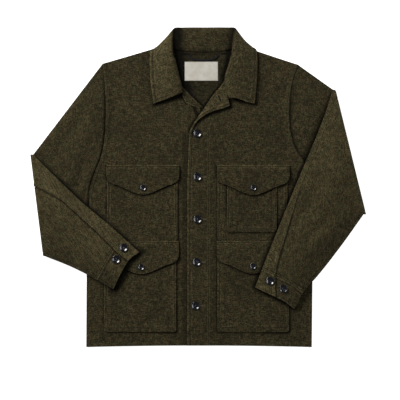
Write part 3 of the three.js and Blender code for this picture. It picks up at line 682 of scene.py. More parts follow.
# Soft folds of the fronts: start x and y, end x and y, half width, height
FRONT_FOLDS = [
    (-120, 640, -185, 500, 30, 1.3), (-190, 690, -228, 600, 15, -1.6), (-70, 560, -48, 410, 22, 1.0),
    (-262, 330, -256, 120, 14, 1.4), (-275, 250, -268, 30, 9, -1.0), (-20, 330, -26, 200, 15, 0.6),
    (150, 610, 205, 510, 30, 1.4), (225, 690, 214, 560, 16, -1.3), (110, 560, 60, 500, 22, -1.0),
    (262, 330, 268, 120, 13, 1.2), (279, 200, 276, 20, 8, -0.9), (36, 400, 32, 250, 14, -0.8),
    (-160, 34, 60, 22, 12, 0.8), (120, 30, 250, 24, 10, 0.7), (40, 160, 36, 40, 12, 0.6),
    (-120, 380, -190, 330, 24, 0.9), (-90, 180, -170, 90, 26, 1.0), (160, 370, 110, 320, 22, -0.8),
    (100, 190, 170, 80, 26, 1.0), (-246, 520, -225, 430, 15, 1.2), (20, 560, 40, 470, 18, 0.9),
]


def front_loft(x, y):
    from_side = ease(0, 80, np.minimum(x - HEM_RIGHT, HEM_LEFT - x))
    plain = LOFT * from_side * ease(0, 70, y) * ease(790, 690, y) + 0.25 * ease(600, 700, y)
    free = from_side * ease(0, 60, y) * ease(760, 680, y)
    return plain + free * (1.5 * undulate(x, y) + 1.3 * ridges(x, y, FRONT_FOLDS))


def right_front_under(x, y, u=None, v=None):
    return back_under(x, y) + LAYER + front_loft(x, y)


def left_front_under(x, y, u=None, v=None):
    climb = LAYER * ease(UNDER_EDGE + 25, UNDER_EDGE + 6, x) + 0.35 * ease(480, 550, y)
    return right_front_under(x, y) + climb


def on_front(front, level):
    under = right_front_under if front == "right" else left_front_under
    return lambda x, y, u=None, v=None: under(x, y) + LAYER * (level + 1)


# The body
side_right = Walk(smooth(SIDE_RIGHT), by_point=True)
side_left = Walk(smooth(SIDE_LEFT), by_point=True)


def hem_line(left, right):
    def at(share):
        x = mix(left, right, np.asarray(share, float))
        return np.stack([x, HEM_BOW * (1 - np.clip(np.abs(x) / HEM_LEFT, 0, 1) ** 2)], -1)
    return at


def armhole_relief(side):
    """The seam turnings lie towards the body, so its armhole edge stands proud."""
    def at(x, y, reach):
        upper = ease(360, 420, y)
        return upper * sewn_relief(reach[side], [FRONT_STITCH], swell=2.4)
    return at


def inner_back_shade(x, y):
    """Little light falls on the inside of the back between the collar's leaves, and none on its neck seam."""
    between = ease(100, 85, np.abs(x - 10))
    return 0.65 * ease(540, 640, y) * ease(110, 60, np.abs(x - 15)) + 1.4 * between * ease(758, 764, y)


def placket_shade(x, y):
    """Painted shade: a darker band of the right front beside the edge that is buttoned over it."""
    return 0.85 * ease(-46, -40, x) * ease(570, 530, y)


panels = {}


def add_panel(name, bottom, right, top, left, under, **how):
    panels[name] = Panel(name, patch(bottom, right, top, left), under, **how)


add_panel(
    "cloth_back", hem_line(HEM_RIGHT, HEM_LEFT), side_left,
    Walk([TIP_RIGHT, *smooth(BACK_NECK), TIP_LEFT]), side_right,
    back_under, pitch=6.5, seamed=6, shaded=inner_back_shade)
add_panel(
    "cloth_front_right", hem_line(HEM_RIGHT, UNDER_EDGE),
    Walk([(UNDER_EDGE, HEM_BOW), (UNDER_EDGE, 560), (17, 600), (9, 624), *smooth(RIGHT_NECK_EDGE)]),
    Walk([TIP_RIGHT, NECK_RIGHT]), side_right,
    right_front_under, relief=armhole_relief("left"), sewn={"right": [FRONT_STITCH], "bottom": []},
    shaded=placket_shade)
add_panel(
    "cloth_front_left", hem_line(TOP_EDGE, HEM_LEFT), side_left, Walk([NECK_LEFT, TIP_LEFT]),
    Walk([(TOP_EDGE, HEM_BOW), (TOP_EDGE, 434), (-26, 538), *smooth(LAPEL_ROLL),
          *smooth([(76, 706), (88, 740), (100, 766), NECK_LEFT])]),
    left_front_under, relief=armhole_relief("right"), sewn={"left": [FRONT_STITCH], "bottom": []},
    fine_across=[(48, 62)])


# The turned-back neck corners
def lapel_under(x, y, u, v):
    """The lapel stands off the front towards its outer edge."""
    return on_front("left", 0)(x, y) + 0.4 * ease(600, 650, y) + LAPEL_LIFT * u * ease(560, 610, y)


add_panel(
    "cloth_facing_right", Walk([(-44, 654), (-33, 633), (2, 619)]), Walk([(2, 619), (6, 624)]),
    Walk([(-40, 671), (6, 624)]), Walk([(-44, 654), (-40, 671)]),
    lambda x, y, u, v: on_front("right", 0)(x, y) + 2.2 * (1 - v),
    pitch=3, seamed=6, sewn={"bottom": [], "left": []})
add_panel(
    "cloth_facing_left", Walk([(-25, 557), (-19, 556)]), Walk([(-19, 556), *smooth(LAPEL_EDGE)]),
    Walk([LAPEL_ROLL[-1], LAPEL_EDGE[-1]]), Walk([(-25, 557), *smooth(LAPEL_ROLL)]),
    lapel_under, pitch=3, seamed=9, sewn={"right": [FACING_STITCH]}, material=collar_wool)


# Pockets and flaps
POCKET_CORNER = 7


def pocket_edges(pocket):
    """The bottom, right, top and left edges of a pocket."""
    left, right, bottom, top = pocket["left"], pocket["right"], pocket["bottom"], pocket["top"]
    arc = [(1 - math.cos(a), 1 - math.sin(a)) for a in np.linspace(0, math.pi / 2, 6)]
    low = [(left + POCKET_CORNER * a, bottom + POCKET_CORNER * b) for a, b in arc]
    low += [(right - POCKET_CORNER * a, bottom + POCKET_CORNER * b) for a, b in arc[::-1]]
    return (Walk(low), Walk([(right, bottom + POCKET_CORNER), (right, top)]),
            Walk([(left, top), (right, top)]), Walk([(left, bottom + POCKET_CORNER), (left, top)]))


for name, pocket in POCKETS.items():
    # The flap of a hip pocket covers the bottom edge of the pocket above it
    covered = pocket["bottom"] > 270 and pocket["level"] == 0
    add_panel("cloth_" + name, *pocket_edges(pocket), on_front(pocket["front"], pocket["level"]),
              sewn=POCKET_LINES[name], crisp=("bottom",) if covered else ())


def flap_edges(flap):
    """The bottom, right, top and left edges of a flap."""
    lower = flap_lower(flap)
    left_top, right_top = (flap["left"], flap["top"]), (flap["right"], flap["top"])
    return Walk(lower), Walk([lower[-1], right_top]), Walk([left_top, right_top]), Walk([lower[0], left_top])


def flap_under(flap):
    """A flap lies on the front along its top, and climbs over its pocket just below."""
    seat = on_front(flap["front"], 0)
    top, level = flap["top"], flap["level"]

    def under(x, y, u, v):
        return seat(x, y) + LAYER * level * ease(top - 4, top - 14, y) + FLAP_LIFT * (1 - v) ** 2
    return under


for name, flap in FLAPS.items():
    add_panel("cloth_" + name, *flap_edges(flap), flap_under(flap), pitch=4, sewn={"top": [FLAP_STITCH]},
              crisp=("top",) if flap["top"] < 300 else ())


# Sleeves
FOLD_REACH = ELBOW_RADIUS + SPREAD + CLOTH / 2
LOW_MIDDLE = SPREAD + CLOTH / 2
ARM_WAVE = 2.2                  # depth of the slight unevenness of the arms
# Soft folds of the arms: start x and y, end x and y, half width, height
ARM_FOLDS = {
    "right": {
        "upper": [
            (-424, 508, -278, 690, 12, 2.4), (-392, 482, -292, 622, 15, -2.6),
            (-330, 470, -276, 640, 26, 2.6), (-352, 408, -318, 496, 10, 2), (-326, 400, -296, 486, 9, -2.2),
            (-306, 392, -284, 470, 11, 1.6), (-290, 660, -268, 700, 12, -1), (-345, 560, -318, 600, 14, -0.8),
        ],
        "fore": [
            (-428, 468, -205, 280, 14, 2.2), (-428, 398, -392, 372, 12, -1.8),
            (-412, 350, -300, 262, 22, -1.5), (-398, 300, -262, 205, 22, 2.4),
            (-336, 338, -312, 352, 6, -1.8), (-340, 352, -306, 362, 6, 1.5),
            (-368, 258, -300, 220, 10, -1.0), (-420, 410, -340, 352, 8, 1.2), (-300, 300, -240, 250, 9, 1.0),
            (-290, 222, -232, 196, 12, -1.2),
        ],
    },
    "left": {
        "upper": [
            (296, 690, 288, 560, 20, 2.6), (262, 690, 250, 590, 10, -1.6), (276, 560, 300, 640, 11, -1.0),
            (320, 668, 300, 600, 14, 1.2),
        ],
        "fore": [
            (298, 470, 272, 352, 14, -3.4), (262, 470, 226, 330, 9, 2.0), (268, 352, 246, 292, 7, -1.2),
            (296, 484, 404, 446, 18, 2.2), (300, 430, 410, 404, 16, -2.4), (412, 352, 262, 208, 20, 2.8),
            (338, 400, 300, 312, 14, 2.0), (330, 332, 276, 262, 13, -2.0), (350, 600, 322, 520, 16, 1.4),
            (372, 520, 392, 450, 14, -1.2), (230, 380, 178, 250, 12, 1.6), (366, 360, 320, 300, 10, -1.2),
        ],
    },
}


class Arm:
    def __init__(self, key):
        arm = ARMS[key]
        self.key, self.arm = key, arm
        over, under = np.array(arm["over"], float), np.array(arm["under"], float)
        self.across = Walk([over, under])
        length = self.across.length
        fall = abs(under[1] - over[1])
        self.inward = np.array([-arm["side"] * fall, (under[0] - over[0]) * arm["side"]]) / length
        shifted = [(x - arm["side"] * (TUCK + 3 * ease(440, 385, y)), y - 7 * ease(400, 370, y))
                   for x, y in arm["armhole"]]
        armhole = Walk(smooth(shifted), by_point=True)

        def fold_start(share):
            return self.across(share) + self.inward * FOLD_REACH

        self.upper = patch(armhole, Walk([armhole(1.0), fold_start(1.0)]), fold_start,
                           Walk([armhole(0.0), fold_start(0.0)]))
        wrist = Walk(smooth(arm["wrist"]))
        self.over_line = Walk(smooth([fold_start(0.0), *arm["over_edge"], wrist(0.0)]))
        self.under_line = Walk(smooth([fold_start(1.0), *arm["under_edge"], wrist(1.0)]))
        self.lower = patch(fold_start, self.under_line, wrist, self.over_line)

    def beside(self, x, y):
        """The distance of places in plan from the forearm's overarm edge, which lies on the upper arm."""
        return line_distance(x, y, [self.arm["over"], *self.arm["over_edge"], self.arm["wrist"][0]])

    def width(self, way):
        way = np.asarray(way, float)
        zero, one = np.zeros_like(way), np.ones_like(way)

        def measured(half, share):
            return np.linalg.norm(half(one, share) - half(zero, share), axis=-1)

        near, far = measured(self.upper, np.clip(way, 0, 1)), measured(self.lower, np.clip(way - 2, 0, 1))
        return np.where(way <= 1, near, np.where(way <= 2, self.across.length, far))

    def seam(self, way):
        at, share = zip(*self.arm["back_seam"])
        return np.interp(np.asarray(way, float) - 2, at, share) * self.width(way)

    def lean(self, along, share):
        """The rows of the forearm lean, so that the cuff is as deep at its short edge as at its long one."""
        start = 1 - CUFF_DEPTH / mix(self.over_line.length, self.under_line.length, share)
        even = 1 - CUFF_SHARE
        return np.where(along < even, start * along / even, mix(start, 1, (along - even) / CUFF_SHARE))

    def point(self, way, e, d):
        """Places on the sleeve: way along it, distance e from the overarm edge, offset d from the middle."""
        way, e, d = np.broadcast_arrays(np.asarray(way, float), e, d)
        share = e / self.width(way)
        inside = np.clip(share, 0, 1)
        belly = np.sin(np.pi * inside)

        def loose(xy, part):
            x, y = xy[..., 0], xy[..., 1]
            return ARM_WAVE * undulate(x, y) + FOLD_DEPTH * ridges(x, y, ARM_FOLDS[self.key][part])

        def raised(xy, z):
            return np.concatenate([xy, z[..., None]], -1)

        # The upper arm
        along = np.clip(way, 0, 1)
        xy = self.upper(share, along)
        free = belly ** 0.5 * ease(0, 0.07, along) * ease(1.0, 0.85, along)
        clear = ease(1, 16, self.beside(xy[..., 0], xy[..., 1]))
        head = HEAD_PUFF * belly ** 0.7 * (1 - along ** 2) * ease(-0.012, 0.055, along)
        lift = np.clip(d, 0, None) / SPREAD * clear * (head + free * loose(xy, "upper"))
        upper = raised(xy, LOW_MIDDLE + d + lift)
        # Round the fold
        turn = np.pi * np.clip(way - 1, 0, 1)
        radius = ELBOW_RADIUS - d
        back = FOLD_REACH - radius * np.sin(turn)
        xy = self.across(share) + self.inward * back[..., None]
        fold = raised(xy, LOW_MIDDLE + ELBOW_RADIUS - radius * np.cos(turn))
        # The forearm
        along = self.lean(np.clip(way - 2, 0, 1), inside)
        xy = self.lower(share, along)
        rise = np.zeros_like(along)
        for (a0, z0), (a1, z1) in zip(FOREARM_RISE, FOREARM_RISE[1:]):
            rise = np.where((along >= a0) & (along <= a1), mix(z0, z1, ease(a0, a1, along)), rise)
        middle = mix(LOW_MIDDLE + 2 * ELBOW_RADIUS, rise + LOW_MIDDLE, ease(0, 0.25, along))
        drop = SAG * ease(0.5, 1, share) * ease(0.02, 0.22, along) * ease(0.56, 0.34, along)
        free = belly ** 0.35 * ease(0.0, 0.06, along) * ease(1.0, 0.82, along)
        mouth = MOUTH * np.sin(np.pi * np.clip(1.08 * share - 0.04, 0, 1)) ** 0.6 * ease(0.80, 0.99, along)
        puff = FORE_PUFF * belly ** 0.6 * ease(0, 0.2, along) * ease(1, 0.8, along)
        puffed = np.clip(-d, 0, None) / SPREAD * (puff + free * loose(xy, "fore") + mouth)
        fore = raised(xy, middle - drop - d + puffed)
        way = way[..., None]
        return np.where(way <= 1, upper, np.where(way < 2, fold, fore))


# Distances of the columns from the edges of a sleeve's pieces: at its underarm seam, beside its back seam,
# and from its back seam outwards
START_REACH = (*RIM_MARKS, 3.4, 4.4)
SEAM_REACH = (*RIM_MARKS, 3.4, 4.6, 6, 7.5, 9)
END_REACH = (11, 9.6, 8.2, 6.8, 5.4, 4.2, 3.2, *RIM_MARKS[::-1])


def tube_section(width, back_start, back_end):
    """The wall's middle line round a sleeve, as columns of e and d, for every row of widths."""
    far, near = width - LOW_MIDDLE, np.full_like(width, LOW_MIDDLE)

    def straight(start, end, count, d):
        return [(mix(start, end, share), d) for share in np.linspace(0, 1, count)[1:-1]]

    def bend(centre, first):
        angles = [math.pi * (turn + first) for turn in np.linspace(0, 1, 9)]
        return [(centre + SPREAD * math.cos(angle), SPREAD * math.sin(angle)) for angle in angles]

    columns = [(e, -SPREAD) for e in back_start]
    columns += bend(far, -0.5) + straight(far, near, 48, SPREAD)
    columns += bend(near, 0.5) + straight(near, back_end - END_REACH[0], 16, -SPREAD)
    columns += [(back_end - reach, -SPREAD) for reach in END_REACH]
    e = np.stack([np.broadcast_to(c[0], width.shape) for c in columns], 1)
    d = np.stack([np.full_like(width, c[1]) for c in columns], 1)
    return e, d


def rows_along(start, end, count, close_start=True, close_end=True):
    """Ways along a sleeve, close together at its rounded ends."""
    places = list(np.linspace(start, end, count))
    scale = 1 / 330                 # about one millimetre as a share of the forearm or upper arm
    near = [m * scale for m in (*RIM_MARKS[1:], 3.4, 4.6, 5.8, 7.0, 8.2, 9.4, 10.6)]
    if close_start:
        places += [start + m for m in near]
    if close_end:
        places += [end - m for m in near]
    return thinned(places, 0.05 * scale)


CUFF_START = 3 - CUFF_SHARE
sleeve_ways = np.concatenate([
    rows_along(0, 0.999, 44, close_end=False), np.linspace(1.02, 1.98, 15),
    rows_along(2.001, CUFF_START - 0.001, 48, close_start=False)])
cuff_ways = rows_along(CUFF_START + 0.001, 3, 12)
arms = {key: Arm(key) for key in ARMS}
# Distances from the seam between sleeve and cuff
BAND_LINES = [4.6, 10.2]
BAND_RIDGES = [1.5, 7.5]


def band_relief(along):
    """The seam between sleeve and cuff: two ridges, each with a sunk row of stitches beyond it."""
    raised = sum(bell(along, at, 1.9) for at in BAND_RIDGES)
    return raised - sum(bell(along, at, ROW_WIDTH) for at in BAND_LINES)


def add_tube(name, arm, ways, columns_of, ridge=0.0, crease=0.0, band=None):
    """A piece of a sleeve or a cuff: columns_of gives e and d for each row.
    The edge along the back seam has a ridge with a row of stitches, or lies in its crease. Where band is 1,
    the seam between sleeve and cuff shows as a turned edge with two rows of stitches."""
    e, d = columns_of(ways)
    way = np.broadcast_to(ways[:, None], e.shape)
    middle = arm.point(way, e, d)
    across, along = run_lengths(middle, 1), run_lengths(middle, 0)
    end_reach = across[:, -1:] - across
    to_wrist = along[-1:, :] - along
    cuff = ways[0] > 2
    ends = [4 * along, to_wrist] if cuff else [along, 4 * to_wrist]
    share = rounded(np.minimum.reduce([across, end_reach, *ends]))
    proud = ridge * sewn_relief(end_reach, [SLEEVE_STITCH], swell=1.5)
    # The ridge along the back seam is paler, partly rubbed wear and partly painted highlight, with painted
    # shade in its row of stitches; the piece in the seam's crease gets painted shade along it
    wear_and_shade = ridge * (1.2 * rub_and_groove_shade(end_reach, [SLEEVE_STITCH]) + 0.6 * ease(10, 4, end_reach))
    wear_and_shade = wear_and_shade - crease * ease(7, 0.5, across) ** 1.4
    on_left = arm.arm["side"] > 0
    if on_left:
        shows = ease(2.35, 2.6, way)
        wear_and_shade, proud = wear_and_shade * shows, proud * shows
    outside = np.where(d < 0, 1, 0)
    if cuff:
        shown = band(e, arm.seam(way)) * outside
        # The band's relief is painted into the colour as well: painted highlight on its ridges and painted
        # shade in its rows of stitches; the wrist edge is rubbed pale
        proud = proud + 0.8 * shown * band_relief(along)
        wear_and_shade = wear_and_shade + shown * 1.3 * band_relief(along) + ease(3.2, 0.8, to_wrist)
    else:
        # Painted shade on the upper arm at its armhole seam, below the body's raised edge
        seat = np.where(way <= 1, 1, 0)
        dip = 0.3 + 0.7 * ease(0.12, 0.35, e / arm.width(way))
        wear_and_shade = np.clip(wear_and_shade, -1.8, 1.2) - 1.8 * seat * dip * ease(14, 1, along) ** 1.2
        x, y = middle[..., 0], middle[..., 1]
        # Painted shade in the forearm's trough, and on the upper arm beside the forearm's edge that lies on
        # it
        wear_and_shade = wear_and_shade + np.where(way >= 2, 1, 0) * crease_shade(x, y, FOREARM_TROUGH) / 3
        wear_and_shade = wear_and_shade + seat * crease_shade(x, y, SLEEVE_CREASES)
    # Painted light: the outside of the forearm is paler towards its overarm edge, which faces the lamp
    wear_and_shade = wear_and_shade + 0.7 * ease(1.2, 1.7, way) * ease(1.1, 0.1, e / arm.width(way)) * outside
    grain = np.stack([across, along], -1)
    piece = cloth_mesh(name, middle, share * CLOTH / 2, share * proud, grain, wool, flip=on_left, wear_and_shade=wear_and_shade)
    flat = float(across[:, -1].max()) / 1000, float(along[-1].max()) / 1000
    tubes[name] = piece, flat, net_area(middle)


# For each piece of a sleeve: the object, its flat size and its area
tubes = {}
for key, arm in arms.items():
    def upper_columns(ways, arm=arm):
        width = arm.width(ways)
        start = [width - UNDERARM_SEAM + reach for reach in START_REACH]
        return tube_section(width, start, arm.seam(ways))

    def under_columns(ways, arm=arm):
        low, high = arm.seam(ways) + SEAM, arm.width(ways) - UNDERARM_SEAM - SEAM
        inner_low, inner_high = low + SEAM_REACH[-1], high - SEAM_REACH[-1]
        between = [mix(inner_low, inner_high, share) for share in np.linspace(0, 1, 34)[1:-1]]
        e = np.stack([low + r for r in SEAM_REACH] + between + [high - r for r in SEAM_REACH[::-1]], 1)
        return e, np.full_like(e, -SPREAD)

    def cuff_columns(ways, arm=arm):
        width = arm.width(ways)
        low, high = arm.seam(ways), width - UNDERARM_SEAM
        start = [low + SEAM + r for r in SEAM_REACH]
        start += [mix(low + SEAM + SEAM_REACH[-1], high, share) for share in np.linspace(0, 1, 12)[1:]]
        return tube_section(width, start, low)

    # Over the vent of the right sleeve its placket hides the seam between sleeve and cuff
    def band(e, seam, key=key):
        return np.where((e > seam) | (key == "left"), 1, 0)

    add_tube(f"cloth_sleeve_{key}_upper", arm, sleeve_ways, upper_columns, ridge=1.0)
    add_tube(f"cloth_sleeve_{key}_under", arm, sleeve_ways, under_columns, crease=1.9)
    add_tube(f"cloth_cuff_{key}", arm, cuff_ways, cuff_columns, ridge=1.0, crease=1.9, band=band)


# Collar: one sheet from the neck seam up the stand, over the roll and down the fall.
# Each row is a section, and the rows go round the neck. A section has seven points of x, y and z: the seam,
# the stand, the inside and the top of the roll, two on the fall, and the edge.
COLLAR_SECTIONS = [
    (-47, 667, 9, -45, 664, 9.6, -43, 661, 12, -49, 659, 16.6,
     -66, 651, 18, -94, 640, 15.6, -118, 632, 12.6),
    (-57, 685, 9, -52, 684, 9.4, -46.5, 682, 11.8, -51, 681, 17,
     -67, 676, 19.4, -97, 666, 16.8, -121, 657, 13),
    (-64, 712, 9.4, -59, 711, 9.6, -53.5, 710, 12, -58, 710, 17.6,
     -74, 706, 20.2, -103, 698, 17.2, -125.5, 692, 13.2),
    (-72, 742, 9.8, -67, 742, 10, -61, 742, 12.2, -65, 742, 17.8,
     -80, 740, 20.4, -107, 735, 17.4, -127.5, 731, 13.4),
    (-79, 766, 9.8, -74, 768, 9.8, -67.5, 771, 12.2, -71, 773, 17.4,
     -85, 767, 19.2, -108, 761, 16.4, -127, 757, 12.8),
    (-79, 779, 8.2, -75, 786, 8.8, -70, 797, 11.4, -72, 800, 15.4,
     -87, 788, 16, -107, 778, 12.6, -125, 770.5, 9),
    (-72, 777, 6.2, -71, 792, 7, -67.5, 814, 9.6, -68.5, 818, 12.4,
     -81, 805.5, 11.4, -99, 788.5, 7.4, -112, 768, 1.9),
    (-60, 772.5, 5, -60.5, 794, 5.8, -61, 821, 9, -62, 827.8, 9,
     -67, 823, 3.8, -78, 800, 1.4, -92, 757, 1.2),
    (-42, 769.5, 4.4, -43, 795, 6.8, -44, 820, 10.4, -44, 828.7, 8,
     -44, 824, 2.1, -52, 795, 1.3, -60, 751, 1.2),
    (-14, 767, 4.2, -14, 794, 7.6, -14, 819, 11.2, -14, 829, 8.2,
     -14, 824, 1.9, -16, 793, 1.3, -18, 750, 1.2),
    (16, 766.5, 4.2, 16, 794, 8, 16, 819, 11.4, 16, 828.8, 8.2,
     16, 824, 1.9, 16, 793, 1.3, 16, 750, 1.2),
    (44, 767, 4.2, 44, 794, 8, 45, 819, 11.4, 45, 829, 8.2,
     45, 824, 1.9, 47, 793, 1.3, 50, 750, 1.2),
    (66, 769.5, 4.2, 69, 794, 5.4, 72, 820, 8.6, 73, 829, 8,
     74, 824, 2.1, 84, 795, 1.3, 90, 751, 1.2),
    (82, 773, 4.8, 84, 793, 5.2, 89, 821, 8, 92, 828, 9.8,
     98, 822, 4, 110, 797, 1.5, 122, 757, 1.2),
    (92, 776, 6.6, 90, 791, 7, 90, 812, 9.8, 94, 819, 14,
     107, 805, 13.2, 124, 790, 7.4, 136, 769, 1.7),
    (97, 774, 9.8, 93, 782, 10.2, 88.5, 794, 12.8, 92.5, 800, 17.4,
     107, 791, 18.4, 130, 782, 14, 148, 772, 10),
    (96, 756, 10.8, 91, 758, 10.9, 84.5, 763, 13.6, 88.5, 766, 19,
     104, 763, 21, 130, 757, 17.2, 151, 752, 13.6),
    (88, 728, 10.9, 83, 729, 11, 76.5, 730, 13.6, 81, 731, 19.2,
     98, 728, 21.6, 128, 725, 18, 151.5, 722, 14.2),
    (80, 703, 11.6, 75, 703, 11.8, 68, 702, 14.2, 73, 701, 19.6,
     92, 698, 21.6, 125, 694, 18.2, 149.5, 690, 14.4),
    (80, 677, 15.2, 76, 675, 15.4, 69.5, 671, 17, 74, 669, 20.6,
     93, 666, 21.4, 124, 661, 18.2, 147, 657, 14.4),
    (86, 657, 17.6, 82, 653, 17.8, 77.5, 648, 18.6, 81, 646.5, 20.4,
     97, 645, 20.8, 125, 636, 18, 144, 632, 15),
]
# Soft upright creases of the stand: start x and y, end x and y, half width, height
STAND_FOLDS = [
    (12, 776, 18, 822, 8, 1.0), (46, 774, 60, 818, 8, 1.1), (-12, 778, -9, 806, 7, 0.7),
    (4, 796, 7, 822, 6, -0.8), (-36, 780, -34, 818, 9, -0.6), (32, 776, 36, 812, 7, -0.7),
]


def dense(points, per_stretch):
    """Smooths an array of points along its first axis."""
    flat = points.reshape(len(points), -1)
    return np.array(smooth(flat, per_stretch)).reshape(-1, *points.shape[1:])


def refined(grid, axis):
    """A net with close rows or columns at its rounded edges and along its topstitching."""
    mean = run_lengths(grid, axis).mean(axis=1 - axis)
    want = marks(mean[-1], 3.2, 9) * mean[-1]
    spread = np.interp(want, mean, np.arange(len(mean)))
    low = np.clip(np.floor(spread).astype(int), 0, len(mean) - 2)
    part = (spread - low)[:, None, None]
    moved = np.moveaxis(grid, axis, 0)
    return np.moveaxis(moved[low] * (1 - part) + moved[low + 1] * part, 0, axis)


def level_point(line, reach, level):
    """The plan place on a line of points where the reach along it passes a level."""
    order = np.argsort(reach)
    return tuple(float(np.interp(level, reach[order], line[order, axis])) for axis in (0, 1))


def collar_piece():
    """The collar with its flat size and area, and the lines of its topstitching."""
    net = dense(np.array(COLLAR_SECTIONS, float).reshape(-1, 7, 3), 9)
    net = np.swapaxes(dense(np.swapaxes(net, 0, 1), 9), 0, 1)
    net = refined(refined(net, 0), 1)
    across, along = run_lengths(net, 1), run_lengths(net, 0)
    outer_edge = across[:, -1:] - across
    front_ends = np.minimum(along, along[-1:, :] - along)
    free_edge = np.minimum(outer_edge, front_ends)
    x, y = net[..., 0], net[..., 1]
    share = rounded(np.minimum(across, free_edge))
    fall, beyond_stand = ease(60, 75, across), ease(40, 55, across)
    sewn = sewn_relief(free_edge, [COLLAR_STITCH], swell=0.5) * beyond_stand
    creased = ridges(x, y, STAND_FOLDS) * ease(2, 14, across) * ease(66, 54, across)
    creased = creased * ease(-66, -50, x) * ease(88, 70, x)
    proud = sewn + 0.9 * undulate(1.3 * x, 1.3 * y) * fall + creased
    wear_and_shade = rub_and_groove_shade(free_edge, [COLLAR_STITCH]) * beyond_stand
    # Painted shade on the stand: darker all over, most beside the rolls of both leaves and towards its neck
    # seam
    roll_right = np.interp(y, [772, 829], [85, 96])
    stand = ease(750, 758, y) * ease(-71, -65, x) * ease(3, -2, x - roll_right)
    stand_shade = 0.4 + 1.5 * ease(-28, -58, x) + 1.2 * ease(-24, -3, x - roll_right)
    stand_shade = stand_shade + 0.7 * ease(780, 767, y)
    # Painted light on the leaves: the wearer's right leaf, which faces the lamp, is lighter and the left one
    # a little darker
    leaf_light = 0.3 * ease(-50, -80, x) - 0.1 * ease(60, 80, x)
    # Painted shade in the sunk row of the collar's topstitching
    near_row = bell(free_edge, COLLAR_STITCH, 1.9) * beyond_stand
    wear_and_shade = np.clip(wear_and_shade, -0.8, 1.2) - 0.8 * near_row + mix(leaf_light, -stand_shade, stand)
    piece = cloth_mesh("cloth_collar", net, share * CLOTH / 2, share * proud,
                       np.stack([along, across], -1), collar_wool, flip=True, wear_and_shade=wear_and_shade, wear_and_shade_inside=1.0)
    flat = float(along[-1].max()) / 1000, float(across[:, -1].max()) / 1000
    rows = [[level_point(net[row], outer_edge[row], COLLAR_STITCH) for row in range(len(net))
             if front_ends[row].mean() > COLLAR_STITCH]]
    for reach in (along, along[-1:, :] - along):
        rows.append([level_point(net[:, k], reach[:, k], COLLAR_STITCH) for k in range(net.shape[1])
                     if across[:, k].mean() > 44 and outer_edge[:, k].mean() > COLLAR_STITCH])
    return (piece, flat, net_area(net)), rows


collar_sheet, collar_rows = collar_piece()


# Surfaces to set small things on
finders = {}
ABOVE_ALL = 200                 # a height over the whole jacket, from which a ray looks down


def surface_at(piece_names, x, y):
    """The highest point of the named pieces at a place in plan, in millimetres, and the normal there."""
    best = None
    for name in piece_names:
        if name not in finders:
            mesh = bpy.data.objects[name].data
            finders[name] = BVHTree.FromPolygons([v.co for v in mesh.vertices],
                                                 [tuple(p.vertices) for p in mesh.polygons])
        place, normal, _, _ = finders[name].ray_cast(Vector(in_frame(x, y, ABOVE_ALL)), Vector((0, 0, -1)))
        if place is not None and (best is None or place.z > best[0]):
            best = (place.z, normal)
    return (best[0] * 1000, best[1]) if best else None


# Buttons
def make_button_material():
    finish = Finish("button_horn", roughness=0.2, specular=0.5, IOR=1.5, Coat_Weight=0.45, Coat_IOR=1.55,
                    Coat_Roughness=0.10)
    here = finish.place()
    cloud = finish.noise(here, 160, detail=3)
    swirl = finish.noise(finish.place(scale=(1, 3, 1), turn=0.6), 240, detail=4)
    base = finish.blend(cloud.between(0.35, 0.7), (0.0025, 0.0027, 0.0045), (0.007, 0.0075, 0.013))
    finish.colour(finish.blend(swirl.between(0.56, 0.72) * 0.35, base, (0.03, 0.033, 0.052)))
    finish.drive("Roughness", finish.noise(here, 420, detail=2) * 0.15 + 0.12)
    return finish.material


def make_thread_material(name, colour):
    finish = Finish(name, roughness=0.7, specular=0.35)
    ply = finish.noise(finish.place(), 1500, detail=2)
    finish.speckle(ply, colour, 0.6, 1.3)
    finish.bump(ply, 0.0002)
    return finish.material


horn = make_button_material()
thread_olive = make_thread_material("thread_olive", (0.115, 0.098, 0.049))
thread_dark = make_thread_material("thread_dark", (0.02, 0.021, 0.03))


# Radius and height of each kind of button
BUTTON_SIZES = {"front": (11.0, 3.6), "flap": (8.3, 3.0), "cuff": (11.0, 3.6)}
BUTTON_SIDES = 40
BUTTON_GAP = 0.3                # from the cloth's highest point below a button to its underside
DISH_RIM = 1.4                  # width of the rim
DISH_SHARE = 0.55               # radius of the dish's floor, as a share of the button's
DISH_SLOPE = 0.5
RIM_DROP = 0.04
YARN_RADIUS = 0.28
YARN_SIDES = 6
STRAND_OFFSET = 0.32            # of each of the two strands that lie side by side
HOLE_SPREAD = 0.19              # from the middle to a hole along each axis, as a share of the radius
HOLE_SIZE = 0.095               # radius of a hole, as a share of the button's


def dish_floor(radius, height):
    """How high the middle of a button is: its dish falls from the rim at a slope that catches the light."""
    return height - RIM_DROP - DISH_SLOPE * (radius - DISH_RIM - DISH_SHARE * radius)


def link_rings(build, rings):
    """Faces between each ring of points and the next. A ring may be a single point."""
    for low, high in zip(rings, rings[1:]):
        count = max(len(low), len(high))
        for k in range(count):
            n = (k + 1) % count
            if len(low) == 1:
                build.faces.new((low[0], high[n], high[k]))
            elif len(high) == 1:
                build.faces.new((low[k], low[n], high[0]))
            else:
                build.faces.new((low[k], low[n], high[n], high[k]))


